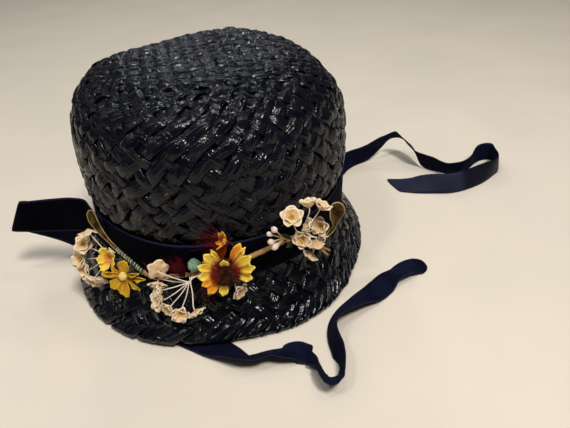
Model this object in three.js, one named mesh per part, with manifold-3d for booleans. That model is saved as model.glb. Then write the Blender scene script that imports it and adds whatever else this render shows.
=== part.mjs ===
// A small hat of glossy plaited straw with a velvet ribbon band, a folded ribbon loop at its side,
// two loose chin ties and a spray of cloth flowers. Millimetres, +Z up, the rim stands on z = 0.
// Azimuth 0 is +X and 270 is the front, where the flowers are.
import * as THREE from "three";
import { mergeVertices } from "three/addons/utils/BufferGeometryUtils.js";
import Module from "manifold-3d";

const wasm = await Module();
wasm.setup();

// Driving dimensions of the straw
const HEAD_HALF_WIDTH = 83.5;
const HEAD_HALF_LENGTH = 92.5;
const HAT_HEIGHT = 139;
const HEAD_LINE = 36; // height of the seam between brim and crown, behind the band
const BULGE_HEIGHT = 69; // where the crown is widest and its rounded shoulder starts
const BULGE = 3.5;
const SHOULDER_POWER = 3.9; // 2 is a round dome, more is boxier
const SHOULDER_STEPS = 9;
const STRAW_WALL = 2.5;
const RIM_SHIFT = { x: -4, y: 2 }; // the brim is pulled a little to one side of the crown
const CROWN_LEAN = { x: -2, y: 0 };
const ROUND_SIDES = 46;
const WELD = 1e-4; // points nearer than this are one point

// Driving dimensions of the ribbon and of the clearances
const BAND_BOTTOM = 35;
const BAND_MIDDLE = 48;
const BAND_TOP = 61;
const RIBBON_WALL = 1;
const TIE_WIDTH = 16.5;
const SEAT_GAP = 0.4;
const SURFACE_GAP = 0.1; // a tie lies this far above the surface
const STEPS_PER_ROW = 2; // facets along a route between two of its rows

// Outer face of the brim and of the crown's side, as distance outside the head line
const BRIM_PROFILE = [
  { height: 0, flare: 21.5 },
  { height: 3, flare: 20.6 },
  { height: 12, flare: 14.6 },
  { height: 21, flare: 8.6 },
  { height: 29, flare: 3.4 },
  { height: HEAD_LINE - SEAT_GAP, flare: 0.4 },
];
const CROWN_SIDE = [
  { height: HEAD_LINE, flare: 0.2 },
  { height: BAND_MIDDLE, flare: 0.2 },
  { height: BAND_TOP, flare: 1 },
  { height: BULGE_HEIGHT, flare: BULGE },
];

// Soft dents, and bumps where the depth is negative, pressed along the way out from the hat's middle
const DENT_CENTRE = new THREE.Vector3(0, 0, 60);
const DENTS = [
  { x: -35, y: 40, z: 137, spread: 22, depth: 4 },
  { x: 12, y: 42, z: 137, spread: 24, depth: -2.5 },
  { x: -80, y: 10, z: 120, spread: 22, depth: -2 },
  { x: -88, y: 5, z: 86, spread: 20, depth: 2.5 },
  { x: 72, y: 15, z: 126, spread: 22, depth: 2.3 },
  { x: 88, y: 12, z: 96, spread: 20, depth: -2 },
];

// Where the rim arches a little to let a tie out under it
const RIM_ARCHES = [
  { azimuth: 265, half: 32, lift: 2.6 },
  { azimuth: 41, half: 18, lift: 2.6 },
];

// Ribbon routes. Tilt turns the ribbon about its run: 0 lies flat, 90 stands on its right edge.
// Against the brim's inner wall, and then clear of it, before a tie comes out under the rim:
const FRONT_TIE_INSIDE = [
  { azimuth: 224, height: 24, tilt: 59, clear: 0.3 },
  { azimuth: 230, height: 20.5, tilt: 58, clear: 0.2 },
  { azimuth: 236, height: 16, tilt: 54, clear: 0.8 },
  { azimuth: 243, height: 10.5, tilt: 44, clear: 2.6 },
  { azimuth: 250, height: 5, tilt: 22, clear: 5.6 },
];
const REAR_TIE_INSIDE = [
  { azimuth: 42.6, height: 30, tilt: 0, clear: 0.8 },
  { azimuth: 41.9, height: 20, tilt: 0, clear: 1 },
  { azimuth: 41.2, height: 10, tilt: 0, clear: 1.7 },
  { azimuth: 40.7, height: 3.4, tilt: 0, clear: 4.4 },
];
// Then along the surface, with lift as the height of the lower edge above it:
const FRONT_TIE_LYING = [
  { x: -24, y: -99.5, tilt: 4, lift: 0 },
  { x: -13, y: -105.5, tilt: 0, lift: 0 },
  { x: -2, y: -112, tilt: -2, lift: 0 },
  { x: 9, y: -118.5, tilt: -14, lift: 0 },
  { x: 18, y: -123.5, tilt: -42, lift: 0 },
  { x: 26, y: -123.5, tilt: -40, lift: 0 },
  { x: 34, y: -120.5, tilt: -18, lift: 0 },
  { x: 43, y: -119, tilt: -6, lift: 1 },
  { x: 51, y: -123, tilt: -30, lift: 0.5 },
  { x: 57, y: -132, tilt: -62, lift: 0 },
  { x: 60.5, y: -139, tilt: -72, lift: 0 },
  { x: 65.5, y: -142, tilt: -76, lift: 0 },
  { x: 70, y: -137, tilt: -74, lift: 0 },
  { x: 71, y: -128, tilt: -70, lift: 0 },
  { x: 68.5, y: -118, tilt: -66, lift: 0 },
  { x: 67, y: -110, tilt: -62, lift: 0 },
  { x: 70, y: -101, tilt: -52, lift: 0 },
  { x: 77, y: -90.5, tilt: -34, lift: 0 },
  { x: 86, y: -81.5, tilt: -16, lift: 0.5 },
  { x: 96, y: -75, tilt: -4, lift: 1.5 },
  { x: 106, y: -69, tilt: -12, lift: 1 },
  { x: 115.5, y: -64, tilt: -38, lift: 0 },
  { x: 125.5, y: -58, tilt: -24, lift: 0 },
  { x: 137, y: -53.5, tilt: -8, lift: 1 },
];
const REAR_TIE_LYING = [
  { x: 74, y: 69.5, tilt: 0, lift: 0 },
  { x: 81.5, y: 75.3, tilt: 0, lift: 0 },
  { x: 89.5, y: 81.3, tilt: 8, lift: 0 },
  { x: 99, y: 88, tilt: 30, lift: 2.5 },
  { x: 116, y: 98, tilt: 50, lift: 5 },
  { x: 134, y: 107, tilt: 56, lift: 10.5 },
  { x: 151, y: 114, tilt: 72, lift: 13.5 },
  { x: 160, y: 107, tilt: 92, lift: 11.5 },
  { x: 165, y: 95, tilt: 100, lift: 6.5 },
  { x: 169, y: 86, tilt: 84, lift: 1.5 },
  { x: 176, y: 80.5, tilt: 56, lift: 0 },
  { x: 183, y: 75, tilt: 38, lift: 0 },
  { x: 190, y: 70, tilt: 40, lift: 0 },
  { x: 199, y: 69, tilt: 60, lift: 0 },
  { x: 211, y: 75, tilt: 82, lift: 0 },
  { x: 224, y: 89, tilt: 90, lift: 0 },
  { x: 233, y: 94, tilt: 90, lift: 0 },
  { x: 238, y: 85, tilt: 90, lift: 0 },
  { x: 235, y: 69, tilt: 92, lift: 0 },
  { x: 227, y: 56, tilt: 96, lift: 0 },
  { x: 216, y: 47, tilt: 102, lift: 0 },
  { x: 204, y: 42, tilt: 110, lift: 0 },
  { x: 192, y: 41, tilt: 120, lift: 0 },
  { x: 180, y: 43, tilt: 126, lift: 0 },
  { x: 168, y: 45.5, tilt: 130, lift: 0 },
  { x: 155, y: 48.5, tilt: 136, lift: 0 },
  { x: 142, y: 53, tilt: 142, lift: 0 },
];
// The loop leaves the band, runs out to a slanted fold and comes back lower, against the brim.
// Slant leans the ribbon's upper edge towards +X, as a share of its width.
const LOOP_WIDTH = 25;
const SIDE_LOOP = [
  { x: -63.9, y: -64.6, z: 48.5, slant: 0 },
  { x: -69.5, y: -58.3, z: 48.5, slant: 0 },
  { x: -75.5, y: -51, z: 48.5, slant: 0.02 },
  { x: -82, y: -43, z: 48.5, slant: 0.06 },
  { x: -92, y: -39.6, z: 48.5, slant: 0.12 },
  { x: -106, y: -39, z: 48.5, slant: 0.2 },
  { x: -120, y: -38.8, z: 48.5, slant: 0.3 },
  { x: -129.5, y: -38.4, z: 48.3, slant: 0.4 },
  { x: -132.3, y: -36.2, z: 47.6, slant: 0.42 },
  { x: -129, y: -34.2, z: 46.6, slant: 0.42 },
  { x: -118, y: -33.4, z: 43.4, slant: 0.4 },
  { x: -106, y: -33, z: 39.6, slant: 0.38 },
  { x: -96, y: -34, z: 36.4, slant: 0.4 },
  { x: -88.4, y: -38.6, z: 34.6, slant: 0.44 },
  { x: -84.4, y: -44.4, z: 34, slant: 0.46 },
];

// Flower garland: the bound stem that carries the sprays, by azimuth, height and reach off the straw
const GARLAND_RADIUS = 1.5;
const GARLAND_REACH = 3.6;
const STEM_SIDES = 5;
const STEM_RADIUS = 0.5;
const STEM_STEPS = 3;
const NECK = 2; // a stem leaves straight behind its flower for this far
const GARLAND = [
  { azimuth: 229, height: 45.5 },
  { azimuth: 234, height: 44 },
  { azimuth: 239.5, height: 41.5 },
  { azimuth: 244.5, height: 37 },
  { azimuth: 249, height: 35.5 },
  { azimuth: 255, height: 38 },
  { azimuth: 263, height: 41.8 },
  { azimuth: 274, height: 46 },
  { azimuth: 285, height: 50.5 },
  { azimuth: 293, height: 53 },
  { azimuth: 300, height: 53.5 },
  { azimuth: 306, height: 48 },
  { azimuth: 312, height: 38 },
];

// Sprays of cream blossoms. Each stem ends on the garland between the two azimuths, in the rows' order.
// Outward is the share of the facing that points off the straw, the rest follows the stem.
const BLOSSOM_WALL = 0.9;
const BLOSSOM = { lobes: 5, waist: 0.66, cup: 1.6 };
const BLOSSOM_RISE = 0.5;
const LOBE_SIDES = 4;
const LOBE_ROUNDING = 0.7; // less is rounder
const SPRAYS = [
  {
    name: "left", from: 230, to: 238, outward: 0.35,
    blossoms: [
      { azimuth: 221.5, height: 54, reach: 11.5, radius: 5.3 },
      { azimuth: 221, height: 45, reach: 16, radius: 5.3 },
      { azimuth: 221.5, height: 37, reach: 20.5, radius: 5.2 },
      { azimuth: 223.5, height: 29.5, reach: 15.5, radius: 5.3 },
      { azimuth: 228, height: 25.5, reach: 13, radius: 5 },
      { azimuth: 232, height: 30.5, reach: 16, radius: 4.8 },
    ],
  },
  {
    name: "middle", from: 256, to: 268, outward: 0.3,
    blossoms: [
      { azimuth: 251.2, height: 37.5, reach: 10, radius: 4.6 },
      { azimuth: 254.5, height: 49, reach: 10.5, radius: 5.2 },
      { azimuth: 255.6, height: 38.5, reach: 17, radius: 4.8 },
      { azimuth: 253.8, height: 31, reach: 12.5, radius: 5.2 },
      { azimuth: 257.4, height: 26.5, reach: 16.5, radius: 4.8 },
      { azimuth: 262, height: 24.5, reach: 13, radius: 5 },
      { azimuth: 266.8, height: 27, reach: 15, radius: 4.8 },
    ],
  },
  {
    name: "pendant", from: 279, to: 281, outward: 0.2,
    blossoms: [{ azimuth: 279.5, height: 35, reach: 14, radius: 4.8 }],
  },
  {
    name: "right", from: 299.5, to: 311.5, outward: 0.9,
    blossoms: [
      { azimuth: 298, height: 74, reach: 8.5, radius: 5.8 },
      { azimuth: 303.5, height: 77.5, reach: 10, radius: 5.6 },
      { azimuth: 301, height: 57.5, reach: 13, radius: 5.2 },
      { azimuth: 304.5, height: 65.5, reach: 12.5, radius: 5.2 },
      { azimuth: 309, height: 72.5, reach: 12, radius: 5.4 },
      { azimuth: 310, height: 61, reach: 13, radius: 5.2 },
      { azimuth: 306.5, height: 51.5, reach: 13.5, radius: 5 },
      { azimuth: 310.8, height: 50.5, reach: 12.5, radius: 5 },
      { azimuth: 305.6, height: 40, reach: 10, radius: 5 },
    ],
  },
];

// Small buds on short stems, tiny leaves and red feathery tufts, by the tip and the foot on the garland
const BUD_RADIUS = 1.5;
const BUD_LENGTH = 4.2;
const BUD_SIDES = 8;
const BUD_PROFILE = [[0, 0], [1, 0.3], [0.9, 0.7], [0, 1]]; // shares of the radius and of the length
const BUDS = [
  { azimuth: 291.6, height: 69.5, reach: 9, foot: 296.6 },
  { azimuth: 289.6, height: 66, reach: 8.2, foot: 295.4 },
  { azimuth: 290.8, height: 61, reach: 9.8, foot: 294.2 },
  { azimuth: 291.2, height: 56.5, reach: 11.4, foot: 293 },
];
const SMALL_LEAF = { width: 3.6, cup: 0.3, steps: 4, across: 3 };
const SMALL_LEAVES = [
  { azimuth: 295.4, height: 61.5, reach: 4.6, foot: 298.2 },
  { azimuth: 296, height: 49, reach: 7, foot: 298.6 },
  { azimuth: 275.4, height: 38, reach: 9, foot: 278 },
];
const TUFT_STRANDS = 4;
const TUFT_STRAND_SIDES = 4;
const TUFT_STRAND_RADIUS = 0.6;
const TUFT_SPREAD = 0.75;
const TUFT_SHORTENING = 0.6; // of the outer strands
const TUFTS = [
  { azimuth: 259.6, height: 52, reach: 5.2, foot: 262.5 },
  { azimuth: 248.6, height: 46, reach: 4.6, foot: 252 },
  { azimuth: 269.8, height: 32, reach: 7, foot: 270.4 },
  { azimuth: 270, height: 70.5, reach: 5.2, foot: 272.6 },
];

// The larger flowers and the two gold-edged velvet leaves. Face and rise are the way a flower looks.
const SUNFLOWER = { azimuth: 276.3, height: 50.5, reach: 12.5, radius: 16, lobes: 13, waist: 0.56, cup: 2 };
const SUNFLOWER_WALL = 1.2;
const SUNFLOWER_RISE = 0.06;
const EYE_RADIUS = 7;
const EYE_RISE = 3;
const EYE_SIDES = 16;
const EYE_PROFILE = [[0, 0], [1, 0], [0.9, 0.6], [0.5, 1], [0, 0.8]];
const CALYX = { azimuth: 266.2, height: 52, reach: 4.6, radius: 3.2, length: 7, face: 206, rise: 0.2 };
const CALYX_SIDES = 10;
const CALYX_PROFILE = [[0, -0.5], [0.55, -0.45], [1, -0.05], [0.9, 0.3], [0, 0.5]];
const DAISY = {
  azimuth: 241, height: 35.5, reach: 11.5, foot: 242, face: 262, rise: -0.25, outward: 1,
  radius: 13, lobes: 6, waist: 0.34, cup: 1.5,
};
const TRUMPET = {
  azimuth: 234.5, height: 48.5, reach: 9.5, foot: 239.6, face: 234, rise: 0.2, outward: 0.3,
  radius: 4.6, lobes: 5, waist: 0.5, cup: 3.5,
};
const ORANGE_BUD = {
  azimuth: 277.4, height: 69.5, reach: 6, foot: 284.6, face: 277, rise: 0.6, outward: 0.2,
  radius: 3.6, lobes: 5, waist: 0.55, cup: 5,
};
const LEAF_WALL = 1;
const LEAF_WIDEST = 1.5; // more puts the widest place nearer the tip
const LEAF_FULLNESS = 0.8; // less makes the ends blunter
const LEFT_LEAF = {
  width: 7, cup: 0.5, steps: 7, across: 5,
  spine: [
    { azimuth: 232.5, height: 46.1, reach: 3.7 },
    { azimuth: 229.4, height: 54, reach: 6 },
    { azimuth: 227, height: 62, reach: 7 },
    { azimuth: 225, height: 69.5, reach: 4.4 },
  ],
};
const RIGHT_LEAF = {
  width: 13, cup: 0.7, steps: 7, across: 5,
  spine: [
    { azimuth: 312.75, height: 39.1, reach: 3.8 },
    { azimuth: 316.5, height: 48, reach: 8 },
    { azimuth: 319, height: 56, reach: 9.5 },
    { azimuth: 322, height: 64.5, reach: 8 },
  ],
};

// Colours and finish
const FINISH = {
  straw: { color: 0x0b0e18, roughness: 0.3, metalness: 0 },
  ribbon: { color: 0x0b0f24, roughness: 0.85, metalness: 0 },
  cream: { color: 0xe8cfa6, roughness: 0.7, metalness: 0 },
  yellow: { color: 0xe3b42c, roughness: 0.65, metalness: 0 },
  orange: { color: 0xd8801c, roughness: 0.65, metalness: 0 },
  brown: { color: 0x3a1c0c, roughness: 0.9, metalness: 0 },
  green: { color: 0x5f8f74, roughness: 0.7, metalness: 0 },
  darkgreen: { color: 0x2c4030, roughness: 0.7, metalness: 0 },
  red: { color: 0x5a0c10, roughness: 0.8, metalness: 0 },
  leaf: { color: 0x6a4e1e, roughness: 0.8, metalness: 0 },
  stem: { color: 0x9a7448, roughness: 0.75, metalness: 0 },
};

const radians = (degrees) => THREE.MathUtils.degToRad(degrees);
const fullTurn = 2 * Math.PI;
const HALF_CIRCLE = 180; // degrees

// Surface of the straw

function flareAt(height) {
  const rows = [...BRIM_PROFILE, ...CROWN_SIDE];
  const above = rows.findIndex((row) => row.height >= height);
  if (above < 0) return BULGE;
  if (above === 0) return rows[0].flare;
  const low = rows[above - 1];
  const high = rows[above];
  const share = (height - low.height) / (high.height - low.height);
  return THREE.MathUtils.lerp(low.flare, high.flare, share);
}

function ellipseRadius(turn, offset) {
  const x = Math.cos(turn) / (HEAD_HALF_WIDTH + offset);
  const y = Math.sin(turn) / (HEAD_HALF_LENGTH + offset);
  return 1 / Math.hypot(x, y);
}

function dented(point) {
  const out = point.clone().sub(DENT_CENTRE).normalize();
  const moved = point.clone();
  for (const dent of DENTS) {
    const away = point.distanceTo(new THREE.Vector3(dent.x, dent.y, dent.z));
    moved.addScaledVector(out, -dent.depth * Math.exp(-((away / dent.spread) ** 2)));
  }
  return moved;
}

// A point off the straw's side at a height, with the brim's pull to one side and the crown's lean
function offStraw(turn, height, offset) {
  const pull = Math.max(0, 1 - height / HEAD_LINE);
  const lean = Math.max(0, (height - BULGE_HEIGHT) / (HAT_HEIGHT - BULGE_HEIGHT));
  const radius = ellipseRadius(turn, offset);
  const x = radius * Math.cos(turn) + pull * RIM_SHIFT.x + lean * CROWN_LEAN.x;
  const y = radius * Math.sin(turn) + pull * RIM_SHIFT.y + lean * CROWN_LEAN.y;
  return dented(new THREE.Vector3(x, y, height));
}

function place({ azimuth, height, reach }) {
  const turn = radians(azimuth);
  const surface = offStraw(turn, height, flareAt(height));
  return surface.add(new THREE.Vector3(Math.cos(turn), Math.sin(turn), 0).multiplyScalar(reach));
}

function outwardAt(azimuth, rise) {
  return new THREE.Vector3(Math.cos(radians(azimuth)), Math.sin(radians(azimuth)), rise).normalize();
}

function ringOf(pointAt) {
  return Array.from({ length: ROUND_SIDES }, (_, side) => pointAt((fullTurn * side) / ROUND_SIDES));
}

// Closed solids from rings of points

// Joins each ring to the next, and the last to the first if looped. A ring of one point is a pole.
function ringSolid(rings, looped = false) {
  const points = rings.flat();
  const starts = [];
  rings.reduce((total, ring) => {
    starts.push(total);
    return total + ring.length;
  }, 0);
  const triangles = [];
  const joins = looped ? rings.length : rings.length - 1;
  for (let join = 0; join < joins; join += 1) {
    const next = (join + 1) % rings.length;
    const count = Math.max(rings[join].length, rings[next].length);
    for (let side = 0; side < count; side += 1) {
      const here = (row, step) => starts[row] + ((side + step) % rings[row].length);
      if (rings[join].length > 1) triangles.push(here(join, 0), here(join, 1), here(next, 0));
      if (rings[next].length > 1) triangles.push(here(join, 1), here(next, 1), here(next, 0));
    }
  }
  const geometry = new THREE.BufferGeometry().setFromPoints(points);
  geometry.setIndex(signedVolume(points, triangles) < 0 ? triangles.reverse() : triangles);
  return geometry;
}

function signedVolume(points, triangles) {
  let total = 0;
  for (let first = 0; first < triangles.length; first += 3) {
    const [a, b, c] = triangles.slice(first, first + 3).map((index) => points[index]);
    total += a.dot(b.clone().cross(c)) / 6;
  }
  return total;
}

function middle(ring) {
  const sum = ring.reduce((total, point) => total.add(point), new THREE.Vector3());
  return sum.divideScalar(ring.length);
}

function cappedSolid(rings) {
  return ringSolid([[middle(rings[0])], ...rings, [middle(rings.at(-1))]]);
}

// Joins solids with a boolean

function toManifold(geometry) {
  const bare = geometry.clone();
  bare.deleteAttribute("normal");
  bare.deleteAttribute("uv");
  const merged = mergeVertices(bare, WELD);
  const vertProperties = new Float32Array(merged.attributes.position.array);
  const triVerts = new Uint32Array(merged.index.array);
  return new wasm.Manifold(new wasm.Mesh({ numProp: 3, vertProperties, triVerts }));
}

function joined(geometries) {
  const whole = geometries.map(toManifold).reduce((total, piece) => total.add(piece));
  const mesh = whole.getMesh();
  const geometry = new THREE.BufferGeometry();
  geometry.setAttribute("position", new THREE.BufferAttribute(new Float32Array(mesh.vertProperties), 3));
  geometry.setIndex(new THREE.BufferAttribute(new Uint32Array(mesh.triVerts), 1));
  return geometry;
}

// Straw crown and brim

function crownRings(inset) {
  const side = CROWN_SIDE.map((row) => ringOf((turn) => offStraw(turn, row.height, row.flare - inset)));
  const rise = HAT_HEIGHT - inset - BULGE_HEIGHT;
  const shoulder = Array.from({ length: SHOULDER_STEPS - 1 }, (_, step) => {
    const angle = (Math.PI / 2) * ((step + 1) / SHOULDER_STEPS);
    const narrow = Math.cos(angle) ** (2 / SHOULDER_POWER);
    const height = BULGE_HEIGHT + rise * Math.sin(angle) ** (2 / SHOULDER_POWER);
    const lean = (height - BULGE_HEIGHT) / (HAT_HEIGHT - BULGE_HEIGHT);
    return ringOf((turn) => {
      const radius = narrow * ellipseRadius(turn, BULGE - inset);
      const x = radius * Math.cos(turn) + lean * CROWN_LEAN.x;
      const y = radius * Math.sin(turn) + lean * CROWN_LEAN.y;
      return dented(new THREE.Vector3(x, y, height));
    });
  });
  const pole = [dented(new THREE.Vector3(CROWN_LEAN.x, CROWN_LEAN.y, HAT_HEIGHT - inset))];
  return [...side, ...shoulder, pole];
}

function crown() {
  return ringSolid([...crownRings(STRAW_WALL).reverse(), ...crownRings(0)]);
}

function archAt(turn) {
  const degrees = THREE.MathUtils.radToDeg(turn);
  return RIM_ARCHES.reduce((total, arch) => {
    const turned = THREE.MathUtils.euclideanModulo(degrees - arch.azimuth + HALF_CIRCLE, 2 * HALF_CIRCLE);
    const away = Math.abs(turned - HALF_CIRCLE) / arch.half;
    return away < 1 ? total + arch.lift * Math.cos((away * Math.PI) / 2) ** 2 : total;
  }, 0);
}

function brimRings(inset) {
  return BRIM_PROFILE.map((row) => ringOf((turn) => {
    const point = offStraw(turn, row.height, row.flare - inset);
    point.z += archAt(turn) * (1 - row.height / HEAD_LINE);
    return point;
  }));
}

function brim() {
  return ringSolid([...brimRings(0).reverse(), ...brimRings(STRAW_WALL)], true);
}

// Velvet ribbon: the band, the folded side loop and the ties

function band() {
  const heights = [BAND_BOTTOM, BAND_MIDDLE, BAND_TOP];
  const face = (offset) => heights.map((height) => (
    ringOf((turn) => offStraw(turn, height, flareAt(height) + offset))
  ));
  return ringSolid([...face(SEAT_GAP).reverse(), ...face(SEAT_GAP + RIBBON_WALL)], true);
}

// A strip of four-cornered sections: each has a middle, a way across and a width
function strip(sections, wall) {
  const rings = sections.map((section, index) => {
    const before = sections[Math.max(0, index - 1)].middle;
    const after = sections[Math.min(sections.length - 1, index + 1)].middle;
    const ahead = after.clone().sub(before).normalize();
    const normal = ahead.cross(section.across).normalize().multiplyScalar(wall / 2);
    const half = section.across.clone().normalize().multiplyScalar(section.width / 2);
    const corner = (side, face) => (
      section.middle.clone().addScaledVector(half, side).addScaledVector(normal, face)
    );
    return [corner(1, 1), corner(1, -1), corner(-1, -1), corner(-1, 1)];
  });
  return cappedSolid(rings);
}

// Samples rows of a route evenly, through a smooth curve of their points and of their angles
function sampled(rows, pointOf, angleOf, steps) {
  const points = new THREE.CatmullRomCurve3(rows.map(pointOf), false, "centripetal");
  const angles = new THREE.SplineCurve(rows.map((row, index) => new THREE.Vector2(index, angleOf(row))));
  return Array.from({ length: steps + 1 }, (_, step) => ({
    middle: points.getPoint(step / steps),
    ahead: points.getTangent(step / steps),
    angle: angles.getPoint(step / steps).y,
  }));
}

function insideBrim({ azimuth, height, clear }) {
  const inset = STRAW_WALL + SEAT_GAP + RIBBON_WALL + clear;
  return offStraw(radians(azimuth), height, flareAt(height) - inset);
}

function onSurface({ x, y, tilt, lift }) {
  const turn = radians(tilt);
  const edge = (TIE_WIDTH / 2) * Math.abs(Math.sin(turn)) + (RIBBON_WALL / 2) * Math.abs(Math.cos(turn));
  return new THREE.Vector3(x, y, SURFACE_GAP + lift + edge);
}

function tie(inside, lying) {
  const rows = [...inside, ...lying];
  const pointOf = (row) => ("azimuth" in row ? insideBrim(row) : onSurface(row));
  const steps = (rows.length - 1) * STEPS_PER_ROW;
  const sections = sampled(rows, pointOf, (row) => row.tilt, steps).map(({ middle: point, ahead, angle }) => {
    const left = new THREE.Vector3(-ahead.y, ahead.x, 0).normalize();
    const across = left.multiplyScalar(Math.cos(radians(angle)));
    across.z = Math.sin(radians(angle));
    across.addScaledVector(ahead, -across.dot(ahead)).normalize();
    const lowest = SURFACE_GAP + (TIE_WIDTH / 2) * Math.abs(across.z) + RIBBON_WALL / 2;
    point.z = Math.max(point.z, lowest);
    return { middle: point, across, width: TIE_WIDTH };
  });
  return strip(sections, RIBBON_WALL);
}

function sideLoop() {
  const pointOf = (row) => new THREE.Vector3(row.x, row.y, row.z);
  const steps = (SIDE_LOOP.length - 1) * STEPS_PER_ROW;
  const sections = sampled(SIDE_LOOP, pointOf, (row) => row.slant, steps).map(({ middle: point, angle }) => ({
    middle: point,
    across: new THREE.Vector3(angle, 0, 1),
    width: LOOP_WIDTH,
  }));
  return strip(sections, RIBBON_WALL);
}

// Flowers

function polygon(radius, sides) {
  const corners = Array.from({ length: sides }, (_, side) => {
    const turn = (fullTurn * side) / sides;
    return new THREE.Vector2(radius * Math.cos(turn), radius * Math.sin(turn));
  });
  return new THREE.Shape(corners);
}

function stem(points, radius, steps) {
  const extrudePath = new THREE.CatmullRomCurve3(points, false, "centripetal");
  return new THREE.ExtrudeGeometry(polygon(radius, STEM_SIDES), { steps, extrudePath });
}

function garlandPoint(azimuth, extraReach = 0) {
  const after = Math.max(1, GARLAND.findIndex((row) => row.azimuth >= azimuth));
  const low = GARLAND[after - 1];
  const high = GARLAND[after];
  const share = (azimuth - low.azimuth) / (high.azimuth - low.azimuth);
  const height = THREE.MathUtils.lerp(low.height, high.height, share);
  return place({ azimuth, height, reach: GARLAND_REACH + extraReach });
}

function garlandStem() {
  const points = GARLAND.map((row) => place({ ...row, reach: GARLAND_REACH }));
  return stem(points, GARLAND_RADIUS, GARLAND.length * STEPS_PER_ROW);
}

// Where a stem meets the garland: just off the bound stem's outer side
const FOOT_REACH = GARLAND_RADIUS + SEAT_GAP + STEM_RADIUS;

// A cupped head of rounded lobes that faces +Z, one wall thick
function lobedHead({ lobes, radius, waist, cup, wall = BLOSSOM_WALL }) {
  const sides = lobes * LOBE_SIDES;
  const rim = (lift) => Array.from({ length: sides }, (_, side) => {
    const turn = (fullTurn * side) / sides;
    const lobe = Math.abs(Math.cos((turn * lobes) / 2)) ** LOBE_ROUNDING;
    const out = radius * (waist + (1 - waist) * lobe);
    return new THREE.Vector3(out * Math.cos(turn), out * Math.sin(turn), cup * (out / radius) + lift);
  });
  const pole = (lift) => [new THREE.Vector3(0, 0, lift)];
  return ringSolid([pole(wall), rim(wall), rim(0), pole(0)]);
}

function facing(geometry, position, direction) {
  const turn = new THREE.Quaternion().setFromUnitVectors(new THREE.Vector3(0, 0, 1), direction);
  const matrix = new THREE.Matrix4().compose(position, turn, new THREE.Vector3(1, 1, 1));
  return geometry.applyMatrix4(matrix);
}

// A head on its own stem, joined into one piece
function headOnStem(head, position, direction, foot) {
  const inside = position.clone().addScaledVector(direction, BLOSSOM_WALL / 2);
  const behind = position.clone().addScaledVector(direction, -NECK);
  const half = behind.clone().lerp(foot, 0.5);
  const stalk = stem([inside, behind, half, foot], STEM_RADIUS, STEM_STEPS);
  return joined([facing(head, position, direction), stalk]);
}

function flowerDirection(position, foot, { face, rise, outward }) {
  const along = position.clone().sub(foot).normalize();
  return along.lerp(outwardAt(face, rise), outward).normalize();
}

function sprayBlossoms(spray) {
  return spray.blossoms.map((row, index) => {
    const share = spray.blossoms.length > 1 ? index / (spray.blossoms.length - 1) : 0.5;
    const foot = garlandPoint(THREE.MathUtils.lerp(spray.from, spray.to, share), FOOT_REACH);
    const position = place(row);
    const look = { face: row.azimuth, rise: BLOSSOM_RISE, outward: spray.outward };
    const direction = flowerDirection(position, foot, look);
    return headOnStem(lobedHead({ ...BLOSSOM, radius: row.radius }), position, direction, foot);
  });
}

function singleFlower(row) {
  const foot = garlandPoint(row.foot, FOOT_REACH);
  const position = place(row);
  const direction = flowerDirection(position, foot, row);
  return headOnStem(lobedHead(row), position, direction, foot);
}

// A round body along +Z from a profile of shares
function turnedBody(shares, radius, length, sides) {
  const profile = shares.map(([out, along]) => new THREE.Vector2(out * radius, along * length));
  return new THREE.LatheGeometry(profile, sides).rotateX(Math.PI / 2);
}

function bud(row) {
  const foot = garlandPoint(row.foot, FOOT_REACH);
  const position = place(row);
  const direction = position.clone().sub(foot).normalize();
  const body = turnedBody(BUD_PROFILE, BUD_RADIUS, BUD_LENGTH, BUD_SIDES);
  const inside = position.clone().addScaledVector(direction, BUD_LENGTH / 2);
  const stalk = stem([inside, position, foot], STEM_RADIUS, STEM_STEPS);
  return joined([facing(body, position, direction), stalk]);
}

function tuft(row) {
  const foot = garlandPoint(row.foot, FOOT_REACH);
  const tip = place(row);
  const length = tip.distanceTo(foot);
  const along = tip.clone().sub(foot).normalize();
  const sideways = new THREE.Vector3(0, 0, 1).cross(outwardAt(row.azimuth, 0)).cross(along).cross(along);
  const strands = Array.from({ length: TUFT_STRANDS }, (_, index) => {
    const share = index / (TUFT_STRANDS - 1) - 0.5;
    const direction = along.clone().addScaledVector(sideways.normalize(), share * TUFT_SPREAD).normalize();
    const reach = length * (1 - Math.abs(share) * TUFT_SHORTENING);
    const cone = new THREE.ConeGeometry(TUFT_STRAND_RADIUS, reach, TUFT_STRAND_SIDES).rotateX(Math.PI / 2);
    return facing(cone.translate(0, 0, reach / 2), foot.clone(), direction);
  });
  return joined(strands);
}

// A leaf along a spine, cupped across and pointed at both ends
function leaf({ spine, width, cup, steps, across }) {
  const curve = new THREE.CatmullRomCurve3(spine.map(place), false, "centripetal");
  const rings = Array.from({ length: steps }, (_, step) => {
    const share = (step + 0.5) / steps;
    const point = curve.getPoint(share);
    const ahead = curve.getTangent(share);
    const out = new THREE.Vector3(point.x, point.y, 0).normalize();
    const side = ahead.clone().cross(out).normalize();
    const normal = side.clone().cross(ahead).normalize();
    const half = (width / 2) * Math.sin(Math.PI * share ** LEAF_WIDEST) ** LEAF_FULLNESS;
    const row = (lift) => Array.from({ length: across }, (__, index) => {
      const span = (2 * index) / (across - 1) - 1;
      const rise = cup * half * span ** 2 + lift;
      return point.clone().addScaledVector(side, half * span).addScaledVector(normal, rise);
    });
    return [...row(LEAF_WALL / 2), ...row(-LEAF_WALL / 2).reverse()];
  });
  return ringSolid([[curve.getPoint(0)], ...rings, [curve.getPoint(1)]]);
}

function smallLeaf(row) {
  const foot = { azimuth: row.foot, reach: GARLAND_REACH + FOOT_REACH };
  const start = garlandPoint(row.foot, FOOT_REACH);
  return leaf({ ...SMALL_LEAF, spine: [{ ...foot, height: start.z }, row] });
}

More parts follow.
